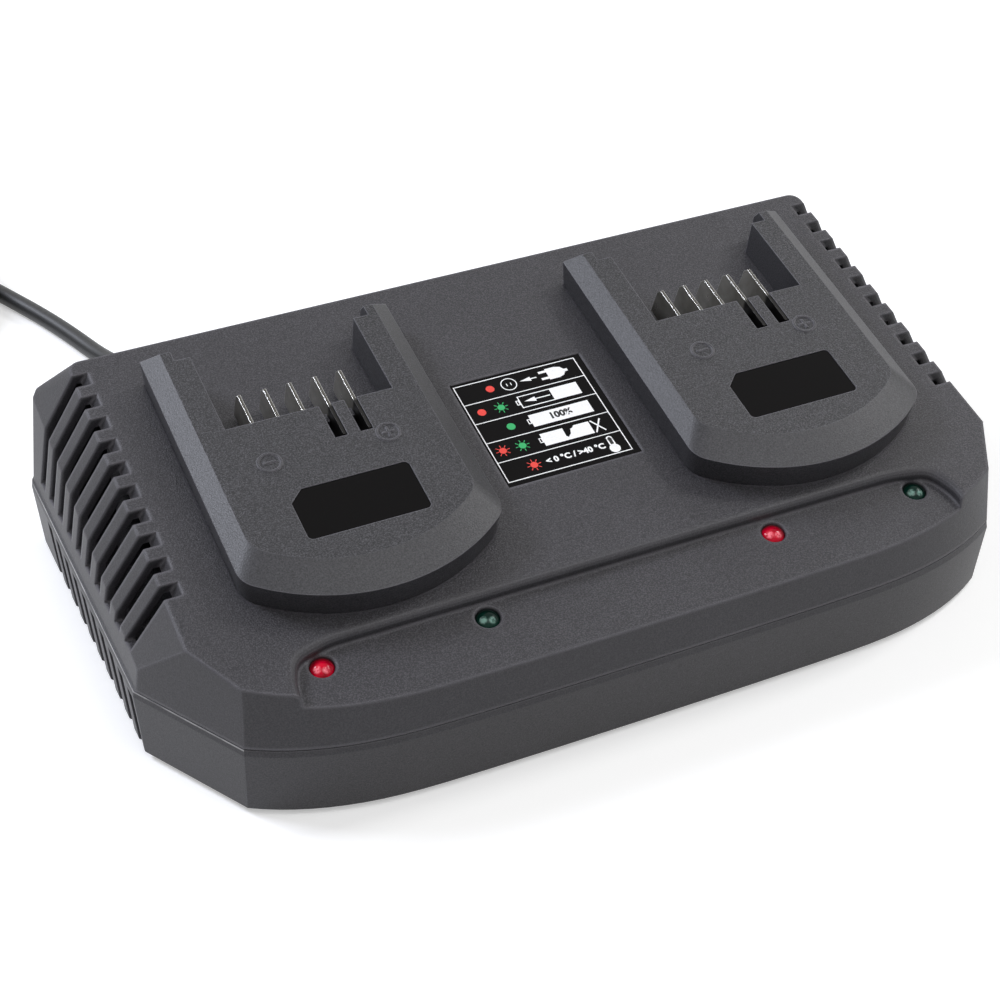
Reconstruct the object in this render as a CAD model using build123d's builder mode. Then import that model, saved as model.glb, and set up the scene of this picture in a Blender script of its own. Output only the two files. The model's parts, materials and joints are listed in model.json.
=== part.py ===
from build123d import *
import os
from math import acos, asin, cos, degrees, pi, radians, sin, sqrt, tan

os.makedirs("parts", exist_ok=True)

# ---- housing ---------------------------------------------------------------
WIDTH = 239.4            # across the sides at the parting line, rear
HALF_W = WIDTH / 2
DEPTH = 137.7            # front bow to rear wall at the parting line
SHELL_Z = 1.5            # underside of the lower housing above the table
PART_Z = 22.6            # parting line between the two housings
REAR_TOP_Z = 62.4        # rear edge of the sloping top face
TILT = 12.0              # slope of the top face towards the front, degrees
SIDE_TAPER = 1.3         # each side draws in by this much towards the front
SIDE_LEAN = 8.0          # upper side walls, degrees
FRONT_DRAFT = 6.0        # upper front walls, degrees
WALL = 2.4
TOP_WALL = 3.0
FLOOR = 2.4
REAR_R = 4.0             # vertical rear corners
REAR_SLOPE = 14.0        # top face ends this far in front of the rear wall
TOP_EDGE_R = 0.4         # side and rear edges of the top face
FACET_X = HALF_W - 18.5  # where the cut corner meets the front bow
FACET_DROP = 11.9        # that point behind the front of the bow
FACET_SIDE = 41.7        # cut corner meets the side wall, behind the front
BOW = ((FACET_X - 15.2, 4.9), (FACET_X - 28.1, 1.9), (FACET_X - 50.3, 0.4),
       (0.0, 0.0))       # x, behind the front
EDGE_X = HALF_W - 12.2   # side edge of the top face, at the rear
EDGE_X_OUT = 0.7         # and that much further out at the front
FOLD_X = HALF_W - 3.9    # sloping shoulder meets the side wall, at the rear
FOLD_H = -16.3
FOLD_X_OUT = 1.9         # the fold moves out and up along the length
FOLD_H_UP = 2.0
SECTION_LEN = 140.0
REAR_OVER = 25.0
RIM_H = 2.0              # light bevel round the lower housing under the parting line
RIM_OUT = 0.3
LOW_SIDE_IN = 0.7        # lower walls draw in to the underside
LOW_FACET_IN = 0.9
LOW_FRONT_IN = 1.8
LOW_EDGE = 0.5           # bottom edge bevel
SEAM = 0.35              # shadow gap at the parting line

FRONT_Y = -DEPTH / 2
REAR_Y = DEPTH / 2
RISE = REAR_TOP_Z - PART_Z
REAR_TOP_Y = REAR_Y - REAR_SLOPE

# ---- top face frame: x right, y up the slope, z out of the face -------------
TOP = Plane(origin=(0, REAR_TOP_Y, REAR_TOP_Z), x_dir=(1, 0, 0),
            z_dir=(0, -sin(radians(TILT)), cos(radians(TILT))))
SECT = Plane(origin=TOP.origin, x_dir=(1, 0, 0), z_dir=-TOP.y_dir)

# ---- side vents --------------------------------------------------------------
VENTS = 10
VENT_PITCH = 8.15        # along the slope
VENT_FIRST = -6.9
VENT_W = 4.2
VENT_X = HALF_W - 15.4   # inner end, half way down its sloping face
VENT_SLOPE = 1.0         # the inner end leans out and in by this much
VENT_DEEP = 2.6
VENT_LOW_REAR = PART_Z + 4.0
VENT_LOW_FRONT = PART_Z + 8.0
LOW_VENT_X = HALF_W - 4.0
LOW_VENT_TOP = PART_Z - RIM_H - 1.0

# ---- light panel ---------------------------------------------------------------
DOCK_X = 58.8            # centre of each dock; the lights stand to its sides
PANEL_D = 3.2
PANEL_BACK = -106.4
PANEL_X = HALF_W - 31.9
PANEL_ROUND = 1.8        # rounding along its upper edge
PANEL_STEPS = 4
PANEL_WALL = 2.4
LED_D = 5.7
LED_HOLE = 6.1
LED_RIM = 0.3            # bevel round the hole
LED_DOME = 1.4
LED_FLANGE = 6.6
LED_LEN = 7.2
LED_OUTER = DOCK_X + 21.1
LED_INNER = DOCK_X - 20.2
LED_S = -110.7
LED_TOP = 0.8 - PANEL_D  # top of the low dome, measured from the top face
LED_LEG = 1.27           # legs from the middle
LED_BOARD = 1.6
LED_BOARD_X = 2 * LED_OUTER + 12.2
LED_BOARD_FRONT = 5.0
LED_BOARD_S = 12.0

# ---- docks -----------------------------------------------------------------------
DOCK_TOP = 10.55
LIP_H = 7.5
LIP_DRAFT = 0.7          # the wall under the lip draws in to its foot
LIP_W = 33.1
DECK_W = 28.5
LIP_REAR = -13.0
DECK_REAR = -15.0
LIP_FRONT = -102.4       # the round fronts, and how far they bow
LIP_BOW = 13.2
DECK_FRONT = -93.8
DECK_BOW = 11.4
LIP_CORNER = 7.0
DECK_CORNER = 7.0
HOLLOW_IN = 5.9          # hollow of the dock inside the lip
SEAT_D = 1.2             # the dock stands this deep in the housing
BAY_X0 = -21.6
BAY_X1 = 21.9
BAY_S = -45.2
BAY_NOTCH = 4.1
NOTCH_S = LIP_REAR - 5.4
DOCK_WALL = 2.5

SIGN_X = 15.25           # plus and minus marks beside the blade slots
SIGN_S = -59.1
SIGN_D = 6.2
SIGN_LINE = 0.55
SIGN_BAR = 3.2
SIGN_H = 0.3

# ---- contacts ----------------------------------------------------------------------
BLADES = 5
BLADE_PITCH = 6.6
BLADE_MID = -1.45
BLADE_T = 0.8
BLADE_TIP = -34.2
BLADE_DEEP = -56.0
BLADE_LOW = 1.0
BLADE_TOP = DOCK_TOP - 0.15
BLADE_STEP = 7.2
TAIL_S0 = -58.0
TAIL_S1 = -54.0
SLOT_END = -56.6
SLOT_W = 3.3
HOLD_X0 = -19.4
HOLD_X1 = 16.6
HOLD_S0 = -61.0
HOLD_TOP = 4.6
HOLD_LOW = -7.4
HOLD_FLANGE = 2.0
HOLD_FLANGE_T = 1.5
CB_T = 1.6               # contact board
CB_S0 = -63.0
CB_S1 = -46.0
FIT = 0.1

# ---- labels -----------------------------------------------------------------------
LABEL_T = 0.3
LABEL_SINK = 0.5
NAME_X0 = -14.7
NAME_X1 = 16.0
NAME_S0 = -85.2
NAME_S1 = -69.6
NAME_CUT = 3.6
INFO_X = 0.0
INFO_W = 36.8
INFO_S0 = -77.4
INFO_S1 = -39.8

# ---- fixings -------------------------------------------------------------------------
SCREWS = ((HALF_W - 21.7, 46.0), (HALF_W - 27.7, -34.0))
SCREW_D = 3.5
SCREW_HEAD_D = 6.8
SCREW_HEAD_H = 2.4
SCREW_LEN = 22.0
SCREW_SEAT_Z = 9.5
BOSS_D = 10.4
BOSS_TOP_D = 8.4
BOSS_JOIN_Z = 17.0
FOOT_D = 13.0
FOOT_H = 2.5
FOOT_SINK = 1.0
FEET = ((HALF_W - 20.7, 22.0), (HALF_W - 37.7, -48.0))

# ---- electronics --------------------------------------------------------------------
PCB_Z = 9.0
PCB_T = 1.6
PCB_W = 2 * (SCREWS[1][0] - BOSS_D / 2 - 2.8)   # clear of the front screws
PCB_Y0 = -50.0
PCB_Y1 = 52.0
POST_X = PCB_W / 2 - 5
POST_Y0 = -42.0
POST_Y1 = 45.0
POST_D = 6.5
PIN_D = 3.0
TRAFO_AT = (-PCB_W / 14, 18.0)      # middle of the transformer
TRAFO_W = PCB_W / 4
TRAFO_T = 10.0                       # thickness of its core
TRAFO_H = 30.0
TRAFO_LEG = TRAFO_W / 3              # middle leg; the side legs are half of it
TRAFO_STAND = 3.0
WINDING_T = 24.0
WINDING_H = 16.0
PAD_T = 5.0                          # plastic pads under the winding
MAINS_X = -PCB_W * 0.274             # column with capacitor, choke and rectifier
CAP_Y = 26.0
CAP_R = 10.0
CAP_H = 30.0
CHOKE_Y = -4.0
CHOKE_R = 10.0
CHOKE_T = 8.0
RECT_Y = -22.0
RECT_W = 20.0
FUSE_X = -PCB_W / 2.4
FUSE_Y = 12.0
FUSE_L = 20.0
OUT_CAP_X = PCB_W * 0.18
OUT_CAP_SHIFT = 12.0                 # both output capacitors stand to the right
OUT_CAP_Y = -12.0
OUT_CAP_R = 6.3
OUT_CAP_H = 25.0
SINK_T = 3.0
SINK_W = 34.0
SINK_H = 24.0
SINK_FINS = 6
SINK_FIN = 8.0
SINK_LEFT = (-PCB_W * 0.393, -24.0)
SINK_RIGHT = (PCB_W * 0.238, 20.0)
CHIP_T = 4.5
CHIP_W = 10.0
CHIP_H = 15.0
CHIP_PITCH = 2.54

# ---- cord -----------------------------------------------------------------------------
CORD_D = 5.5
EXIT_X = -72.0
EXIT_Z = 13.5
HOLE_D = 9.0
BOOT_LEN = 30.0
BOOT_D0 = 11.0
BOOT_D1 = 7.4
FLANGE_D = 13.0
FLANGE_T = 1.6
WIRE_Y = 42.0            # mains block's rear face
COIL_AT = (-144.7, 213.7)
COIL_OUT = 34.75         # centre of the cord in the outer turns
COIL_ROWS = 4
ROUTE = ((-72.0, 100.45, 13.5), (-72.0, 118.0, 13.5), (-78.0, 141.0, 2.75),
         (-88.0, 173.2, 2.75), (-100.5, 201.2, 2.75), (-113.2, 228.4, 2.75))
TAIL = ((-179.45, 213.7, 19.25), (-179.45, 197.2, 19.0), (-180.0, 175.2, 6.85),
        (-180.0, 155.2, 6.85))
TIE_W = 6.0
TIE_T = 0.8
TIE_ANGLE = 100.0
PLUG_W = 35.3
PLUG_H = 13.7
PLUG_L = 34.0
PLUG_NOSE_W = 26.0
PLUG_BOOT_L = 18.0
PLUG_BOOT_D = 9.0
PIN_SPACING = 18.6
PLUG_PIN_D = 4.0
PLUG_PIN_L = 19.0


def outline(z, side, facet, front, rear, inset=0.0):
    """Housing outline at height z, drawn in by side, facet, front and rear amounts."""
    side = side + inset
    facet = facet + inset
    front = front + inset
    x1, y1 = HALF_W - SIDE_TAPER, FRONT_Y + FACET_SIDE
    x2, y2 = FACET_X, FRONT_Y + FACET_DROP
    run = sqrt((x1 - x2) ** 2 + (y1 - y2) ** 2)
    nx, ny = (y1 - y2) / run, -(x1 - x2) / run
    bx, by = BOW[0][0], FRONT_Y + BOW[0][1]
    run2 = sqrt((x2 - bx) ** 2 + (y2 - by) ** 2)
    mx, my = (y2 - by) / run2, -(x2 - bx) / run2
    det = nx * my - ny * mx
    cx = x2 + (front * ny - facet * my) / det
    cy = y2 + (facet * mx - front * nx) / det
    w = HALF_W - side
    v = w - SIDE_TAPER
    sy = (y1 - ny * facet) + (v - (x1 - nx * facet)) * (y1 - y2) / (x1 - x2)
    r = REAR_Y - rear - inset
    k = REAR_R * (1 - sqrt(0.5))
    half = [(cx, cy)]
    for i, (px, drop) in enumerate(BOW):
        ease = px / BOW[0][0] * 0.33
        half.append((px - ease * front, FRONT_Y + drop + front * sqrt(1 - ease ** 2)))
    left = [(-p[0], p[1]) for p in half[:-1]]
    with BuildSketch(Plane.XY.offset(z)) as sk:
        with BuildLine():
            Spline(*(left + half[::-1]))
            Line(half[0], (v, sy))
            Line((v, sy), (w, r - REAR_R))
            ThreePointArc((w, r - REAR_R), (w - k, r - k), (w - REAR_R, r))
            Line((w - REAR_R, r), (-w + REAR_R, r))
            ThreePointArc((-w + REAR_R, r), (-w + k, r - k), (-w, r - REAR_R))
            Line((-w, r - REAR_R), (-v, sy))
            Line((-v, sy), left[0])
        make_face()
    return sk.sketch


def dock_face(plane, half, rear, front, bow, corner):
    """Dock outline: straight sides and a round front."""
    side = front + bow
    with BuildSketch(plane) as sk:
        with BuildLine():
            Polyline((-half, side), (-half, rear), (half, rear), (half, side))
            ThreePointArc((half, side), (0, front), (-half, side))
        make_face()
        fillet(sk.vertices().sort_by(Axis.Y)[:2], radius=corner)
    return sk.sketch


def over_dock(cx, h):
    """Plane parallel to the top face at height h, centred on a dock."""
    base = TOP.offset(h)
    return Plane(origin=base.from_local_coords(Vector(cx, 0, 0)), x_dir=base.x_dir,
                 z_dir=base.z_dir)


def dock_foot(cx, h=-SEAT_D):
    """Outline of the foot of a dock's wall."""
    return dock_face(over_dock(cx, h), LIP_W - LIP_DRAFT, LIP_REAR - LIP_DRAFT,
                     LIP_FRONT + LIP_DRAFT, LIP_BOW, LIP_CORNER)


def top_box(x0, x1, s0, s1, h0, h1, mode=Mode.ADD):
    """Box given by its limits in the top face frame."""
    with BuildSketch(TOP.offset(h0)) as sk:
        with Locations(((x0 + x1) / 2, (s0 + s1) / 2)):
            Rectangle(x1 - x0, s1 - s0)
    extrude(sk.sketch, amount=h1 - h0, mode=mode)


def section(dist, inset, top):
    """Cross-section of the upper housing at a distance down the slope."""
    part = dist / SECTION_LEN
    fx = FOLD_X + FOLD_X_OUT * part
    fh = FOLD_H + FOLD_H_UP * part
    edge = EDGE_X + EDGE_X_OUT * part
    run = sqrt((fx - edge) ** 2 + fh ** 2)
    ex = edge - inset * (-fh / run) + (top - inset * (fx - edge) / run) * (fx - edge) / -fh
    fx, fh = fx - inset, fh - inset * 0.25
    lx = fx + (60 + fh) * tan(radians(SIDE_LEAN))
    with BuildSketch(SECT.offset(dist)) as sk:
        with BuildLine():
            Polyline((-ex, -top), (ex, -top), (fx, fh), (lx, -60), (-lx, -60), (-fx, fh),
                     close=True)
        make_face()
    return sk.sketch


def rear_limit(inset):
    """Everything in front of the rear wall and under the rear shoulder."""
    fold_s = (REAR_SLOPE + FOLD_H * sin(radians(TILT))) / cos(radians(TILT))
    fold_z = REAR_TOP_Z + fold_s * sin(radians(TILT)) + FOLD_H * cos(radians(TILT))
    drop = REAR_TOP_Z - fold_z
    run = sqrt(REAR_SLOPE ** 2 + drop ** 2)
    wall_y = REAR_Y - inset
    wall_z = fold_z - inset * (1 - drop / run) / (REAR_SLOPE / run)
    with BuildPart() as body:
        with BuildSketch(Plane.YZ.offset(-150)):
            with BuildLine():
                Polyline((-120, -10), (wall_y, -10), (wall_y, wall_z),
                         (wall_y - 2 * REAR_SLOPE, wall_z + 2 * drop), (-120, wall_z + 2 * drop),
                         close=True)
            make_face()
        extrude(amount=300)
    return body.part


def upper_mass(inset, top):
    """Solid of the upper housing, or of its hollow when drawn in."""
    low = PART_Z if inset == 0 else PART_Z - 1.0
    step = low - PART_Z
    front = tan(radians(FRONT_DRAFT))
    foot = outline(low, -6, step * front, step * front, -20, inset)
    head = outline(REAR_TOP_Z + 6, -6, (RISE + 6) * front, (RISE + 6) * front, -20, inset)
    with BuildPart() as plan:
        loft([foot, head], ruled=True)
    with BuildPart() as long:
        loft([section(-REAR_OVER, inset, top), section(SECTION_LEN, inset, top)], ruled=True)
        add(rear_limit(inset), mode=Mode.INTERSECT)
        if inset == 0:
            rear = [f for f in long.faces() if f.normal_at().Y > 0.5]
            corner = [e for f in rear for e in f.edges() if abs(e.tangent_at(0.5).X) < 0.8]
            fillet(corner, radius=REAR_R)
            face = [f for f in long.faces() if f.normal_at().dot(TOP.z_dir) > 0.999][0]
            rim = [e for e in face.edges() if e.center().Y > -SECTION_LEN + REAR_TOP_Y + 20]
            fillet(rim, radius=TOP_EDGE_R)
    return long.part & plan.part


def panel_shape(plane, grow):
    """Light panel outline, open to the front."""
    x = PANEL_X + grow
    b = PANEL_BACK + grow
    with BuildSketch(plane) as sk:
        with BuildLine():
            Polyline((-x, -140), (-x, b - 13.0))
            Spline((-x, b - 13.0), (-x + 1.2, b - 6.2), (-x + 3.1, b - 2.8),
                   (-x + 7.6, b - 1.0), (-x + 16, b), tangents=((0, 1), (1, 0)))
            Line((-x + 16, b), (x - 16, b))
            Spline((x - 16, b), (x - 7.6, b - 1.0), (x - 3.1, b - 2.8),
                   (x - 1.2, b - 6.2), (x, b - 13.0), tangents=((1, 0), (0, -1)))
            Polyline((x, b - 13.0), (x, -140), (-x, -140))
        make_face()
    return sk.sketch


def rounded_rim():
    """Sections of the rounding along the upper edge of the light panel."""
    made = []
    for k in range(PANEL_STEPS + 1):
        turn = radians(90.0 * k / PANEL_STEPS)
        made.append(panel_shape(TOP.offset(-PANEL_ROUND * (1 - sin(turn))),
                                PANEL_ROUND * (1 - cos(turn))))
    return made


def name_face(plane, cx, grow):
    """Dock name plate outline with one cut corner."""
    with BuildSketch(plane) as sk:
        with BuildLine():
            Polyline((cx + NAME_X0 - grow, NAME_S0 - grow), (cx + NAME_X1 + grow, NAME_S0 - grow),
                     (cx + NAME_X1 + grow, NAME_S1 + grow), (cx + NAME_X0 + NAME_CUT, NAME_S1 + grow),
                     (cx + NAME_X0 - grow, NAME_S1 - NAME_CUT), close=True)
        make_face()
        sharp = [v for v in sk.vertices() if v.Y < NAME_S0 + 1 or v.X > cx + NAME_X1 - 1]
        fillet(sharp, radius=1.4)
    return sk.sketch


with BuildPart() as hollow:
    add(upper_mass(WALL, TOP_WALL))
    extrude(panel_shape(TOP.offset(-PANEL_D - PANEL_WALL), PANEL_WALL), amount=60,
            mode=Mode.SUBTRACT)

with BuildPart() as outer:
    add(upper_mass(0.0, 0.0))

with BuildPart() as vents:
    near = VENT_X - VENT_SLOPE
    far = VENT_X + VENT_SLOPE
    for i in range(VENTS):
        with BuildSketch(SECT.offset(-VENT_FIRST + i * VENT_PITCH - VENT_W / 2)) as slots:
            for sx in (-1, 1):
                with BuildLine():
                    Polyline((sx * near, 1), (sx * (near + 40), 1), (sx * (near + 40), -60),
                             (sx * far, -60), (sx * far, -VENT_DEEP), (sx * near, 0), close=True)
                make_face()
        extrude(slots.sketch, amount=VENT_W)
    with BuildSketch(Plane.YZ.offset(-150)) as below:
        with BuildLine():
            Polyline((-60, -80), (90, -80), (90, VENT_LOW_REAR),
                     (REAR_TOP_Y, VENT_LOW_REAR), (REAR_TOP_Y - 78, VENT_LOW_FRONT),
                     (-60, VENT_LOW_FRONT), close=True)
        make_face()
    extrude(below.sketch, amount=300, mode=Mode.SUBTRACT)

with BuildPart() as bosses:
    for sx in (-1, 1):
        for bx, by in SCREWS:
            with Locations((sx * bx, by, BOSS_JOIN_Z)):
                Cylinder(BOSS_TOP_D / 2, 60, align=(Align.CENTER, Align.CENTER, Align.MIN))
    with BuildSketch(TOP.offset(LED_TOP - LED_LEN)):
        with Locations((-DOCK_X, LED_S), (0.0, LED_S), (DOCK_X, LED_S)):
            Circle(3.0)
    extrude(amount=LED_LEN - 1.5)
    add(outer.part, mode=Mode.INTERSECT)
    with Locations(*[(sx * bx, by, BOSS_JOIN_Z) for sx in (-1, 1) for bx, by in SCREWS]):
        Cylinder(BOSS_TOP_D / 2, PART_Z - BOSS_JOIN_Z + 2,
                 align=(Align.CENTER, Align.CENTER, Align.MIN))

with BuildPart() as upper_housing:
    add(outer.part)
    add(hollow.part, mode=Mode.SUBTRACT)
    add(bosses.part)
    extrude(panel_shape(TOP.offset(-PANEL_D), 0.0), amount=20, mode=Mode.SUBTRACT)
    loft(rounded_rim(), ruled=True, mode=Mode.SUBTRACT)
    for cx in (-DOCK_X, DOCK_X):
        extrude(dock_foot(cx), amount=10, mode=Mode.SUBTRACT)
        top_box(cx + BAY_X0 - BAY_NOTCH, cx + BAY_X1 + BAY_NOTCH, NOTCH_S,
                LIP_REAR - LIP_DRAFT, -SEAT_D, 0)
        top_box(cx + BAY_X0, cx + BAY_X1, BAY_S, NOTCH_S, -SEAT_D, 0)
        top_box(cx + HOLD_X0 - FIT, cx + HOLD_X1 + FIT, HOLD_S0 - FIT, BAY_S - DOCK_WALL + FIT,
                -8, 2, Mode.SUBTRACT)
    with BuildSketch(TOP.offset(-20)):
        with Locations(*[(sx * x, LED_S) for sx in (-1, 1) for x in (LED_OUTER, LED_INNER)]):
            Circle(LED_HOLE / 2)
    extrude(amount=30, mode=Mode.SUBTRACT)
    for sx in (-1, 1):
        for x in (LED_OUTER, LED_INNER):
            with Locations(Location(TOP.offset(-PANEL_D)) * Pos(sx * x, LED_S, -LED_RIM / 2)):
                Cone(LED_HOLE / 2, LED_HOLE / 2 + LED_RIM, LED_RIM, mode=Mode.SUBTRACT)
    top_box(INFO_X - INFO_W / 2 - FIT, INFO_X + INFO_W / 2 + FIT, INFO_S0 - FIT, INFO_S1 + FIT,
            -LABEL_SINK, 1, Mode.SUBTRACT)
    add(vents.part, mode=Mode.SUBTRACT)
    with Locations(*[(sx * bx, by, BOSS_JOIN_Z) for sx in (-1, 1) for bx, by in SCREWS]):
        Cylinder(SCREW_D / 2, SCREW_LEN - (BOSS_JOIN_Z - SCREW_SEAT_Z) + 1.0,
                 align=(Align.CENTER, Align.CENTER, Align.MIN), mode=Mode.SUBTRACT)

with BuildPart() as low_hollow:
    frac = FLOOR / (PART_Z - SHELL_Z)
    loft([outline(SHELL_Z + FLOOR, LOW_SIDE_IN * (1 - frac), LOW_FACET_IN * (1 - frac),
                  LOW_FRONT_IN * (1 - frac), 0.0, WALL),
          outline(PART_Z + 1, 0.0, 0.0, 0.0, 0.0, WALL)], ruled=True)

with BuildPart() as lower_housing:
    loft([outline(SHELL_Z, LOW_SIDE_IN, LOW_FACET_IN, LOW_FRONT_IN, 0.0, LOW_EDGE),
          outline(SHELL_Z + LOW_EDGE, LOW_SIDE_IN, LOW_FACET_IN, LOW_FRONT_IN, 0.0),
          outline(PART_Z - RIM_H, -RIM_OUT, -RIM_OUT, -RIM_OUT, 0.0),
          outline(PART_Z - SEAM, 0.0, 0.0, 0.0, 0.0),
          outline(PART_Z, 0.0, 0.0, 0.0, 0.0, 2 * SEAM)], ruled=True)
    add(low_hollow.part, mode=Mode.SUBTRACT)
    with Locations(*[(sx * bx, by, SHELL_Z) for sx in (-1, 1) for bx, by in SCREWS]):
        Cylinder(BOSS_D / 2, BOSS_JOIN_Z - SHELL_Z, align=(Align.CENTER, Align.CENTER, Align.MIN))
    with Locations(*[(sx * bx, by, SHELL_Z) for sx in (-1, 1) for bx, by in SCREWS]):
        Cylinder(SCREW_D / 2 + FIT, 40, mode=Mode.SUBTRACT)
        Cylinder(SCREW_HEAD_D / 2 + 2 * FIT, SCREW_SEAT_Z - SHELL_Z,
                 align=(Align.CENTER, Align.CENTER, Align.MIN), mode=Mode.SUBTRACT)
    posts = [(sx * POST_X, y, SHELL_Z + 1) for sx in (-1, 1) for y in (POST_Y0, POST_Y1)]
    with Locations(*posts):
        Cylinder(POST_D / 2, PCB_Z - SHELL_Z - 1, align=(Align.CENTER, Align.CENTER, Align.MIN))
        Cylinder(PIN_D / 2, PCB_Z + PCB_T + 0.8 - SHELL_Z - 1,
                 align=(Align.CENTER, Align.CENTER, Align.MIN))
    with Locations(*[(sx * x, y, SHELL_Z) for sx in (-1, 1) for x, y in FEET]):
        Cylinder(FOOT_D / 2 + 2, FLOOR + FOOT_SINK,
                 align=(Align.CENTER, Align.CENTER, Align.MIN))
        Cylinder(FOOT_D / 2, 2 * FOOT_SINK, mode=Mode.SUBTRACT)
    ca = cos(radians(TILT))
    low_slots = []
    for sx in (-1, 1):
        for i in range(VENTS):
            low_slots.append((sx * (LOW_VENT_X + 10),
                              REAR_TOP_Y + (VENT_FIRST - i * VENT_PITCH) * ca,
                              (LOW_VENT_TOP - 1) / 2))
    with Locations(*low_slots):
        Box(20, VENT_W * ca, LOW_VENT_TOP + 1, mode=Mode.SUBTRACT)
    with BuildSketch(Plane.XZ.offset(-REAR_Y - 5)):
        with Locations((EXIT_X, EXIT_Z)):
            Circle(HOLE_D / 2)
    extrude(amount=20, mode=Mode.SUBTRACT)


def dock(name, cx):
    """Raised platform that one battery pack slides on."""
    with BuildPart() as body:
        extrude(dock_foot(cx), amount=SEAT_D)
        loft([dock_foot(cx, 0.0),
              dock_face(over_dock(cx, LIP_H), LIP_W, LIP_REAR, LIP_FRONT, LIP_BOW, LIP_CORNER),
              dock_face(over_dock(cx, DOCK_TOP), DECK_W, DECK_REAR, DECK_FRONT, DECK_BOW,
                        DECK_CORNER)], ruled=True)
        top_box(cx + BAY_X0, cx + BAY_X1, BAY_S, 5, -5, 20, Mode.SUBTRACT)
        for x0, x1 in ((BAY_X0 - BAY_NOTCH, BAY_X0 + 1), (BAY_X1 - 1, BAY_X1 + BAY_NOTCH)):
            top_box(cx + x0, cx + x1, NOTCH_S, 5, -5, 20, Mode.SUBTRACT)
        extrude(dock_face(over_dock(cx, -SEAT_D), LIP_W - HOLLOW_IN, BAY_S - DOCK_WALL,
                          DECK_FRONT + DOCK_WALL, DECK_BOW - 1, LIP_CORNER - 4),
                amount=SEAT_D + DOCK_TOP - DOCK_WALL, mode=Mode.SUBTRACT)
        for x0 in (BAY_X0 - DOCK_WALL - 3.0, BAY_X1 + DOCK_WALL):
            top_box(cx + x0, cx + x0 + 3.0, BAY_S + 3, LIP_REAR - 9, -SEAT_D,
                    DOCK_TOP - DOCK_WALL - 1, Mode.SUBTRACT)
        for i in range(BLADES):
            bx = cx + BLADE_MID + (i - 2) * BLADE_PITCH
            high = DOCK_TOP + 1 if i > 2 else BLADE_STEP + 2 * FIT
            top_box(bx - BLADE_T / 2 - 2 * FIT, bx + BLADE_T / 2 + 2 * FIT,
                    BAY_S - DOCK_WALL - 1, BAY_S + 1, BLADE_LOW - 2 * FIT, high, Mode.SUBTRACT)
            if i > 2:
                top_box(bx + BLADE_T / 2 + 2 * FIT - SLOT_W, bx + BLADE_T / 2 + 2 * FIT,
                        SLOT_END, BAY_S + 1, DOCK_TOP - DOCK_WALL - 1, DOCK_TOP + 1,
                        Mode.SUBTRACT)
        extrude(name_face(TOP.offset(DOCK_TOP - LABEL_SINK), cx, FIT), amount=2,
                mode=Mode.SUBTRACT)
        with BuildSketch(over_dock(cx, DOCK_TOP)):
            for sx in (-1, 1):
                with Locations((sx * SIGN_X, SIGN_S)):
                    Circle(SIGN_D / 2)
                    Circle(SIGN_D / 2 - SIGN_LINE, mode=Mode.SUBTRACT)
                    Rectangle(SIGN_BAR, SIGN_LINE)
            with Locations((SIGN_X, SIGN_S)):
                Rectangle(SIGN_LINE, SIGN_BAR)
        extrude(amount=SIGN_H)
    body.part.label = name
    return body.part


def holder(name, cx):
    """Moulded block that carries the five blades."""
    with BuildPart() as body:
        top_box(cx + HOLD_X0, cx + HOLD_X1, HOLD_S0, BAY_S - DOCK_WALL, HOLD_LOW, HOLD_TOP)
        top_box(cx + HOLD_X0 - HOLD_FLANGE, cx + HOLD_X1 + HOLD_FLANGE, HOLD_S0 - HOLD_FLANGE,
                BAY_S - DOCK_WALL, -SEAT_D, HOLD_FLANGE_T - SEAT_D)
        for i in range(BLADES):
            bx = cx + BLADE_MID + (i - 2) * BLADE_PITCH
            top_box(bx - BLADE_T / 2, bx + BLADE_T / 2, TAIL_S0, BAY_S, BLADE_LOW, 12,
                    Mode.SUBTRACT)
            top_box(bx - BLADE_T / 2, bx + BLADE_T / 2, TAIL_S0, TAIL_S1, -20, 12, Mode.SUBTRACT)
    body.part.label = name
    return body.part


def blade(name, cx, i):
    """Flat contact blade with a soldered tail."""
    bx = cx + BLADE_MID + (i - 2) * BLADE_PITCH
    deep = BLADE_DEEP if i > 2 else BAY_S + 0.1
    side = Plane(origin=TOP.from_local_coords(Vector(bx - BLADE_T / 2, 0, 0)),
                 x_dir=TOP.y_dir, z_dir=TOP.x_dir)
    with BuildPart() as body:
        with BuildSketch(side):
            with BuildLine():
                Polyline((BLADE_TIP + 2.0, BLADE_LOW), (BLADE_TIP + 0.6, BLADE_TOP - 1.6),
                         (BLADE_TIP - 0.8, BLADE_TOP), (deep, BLADE_TOP), (deep, BLADE_STEP),
                         (TAIL_S0, BLADE_STEP), (TAIL_S0, HOLD_LOW - CB_T - 1.0),
                         (TAIL_S1, HOLD_LOW - CB_T - 1.0), (TAIL_S1, BLADE_LOW), close=True)
            make_face()
        extrude(amount=BLADE_T)
    body.part.label = name
    return body.part


def contact_board(name, cx):
    """Small board soldered under the contact block."""
    with BuildPart() as body:
        top_box(cx + HOLD_X0 - 3, cx + HOLD_X1 + 3, CB_S0, CB_S1, HOLD_LOW - CB_T, HOLD_LOW)
        for i in range(BLADES):
            bx = cx + BLADE_MID + (i - 2) * BLADE_PITCH
            top_box(bx - BLADE_T / 2, bx + BLADE_T / 2, TAIL_S0, TAIL_S1, -20, 0, Mode.SUBTRACT)
    body.part.label = name
    return body.part


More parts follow.
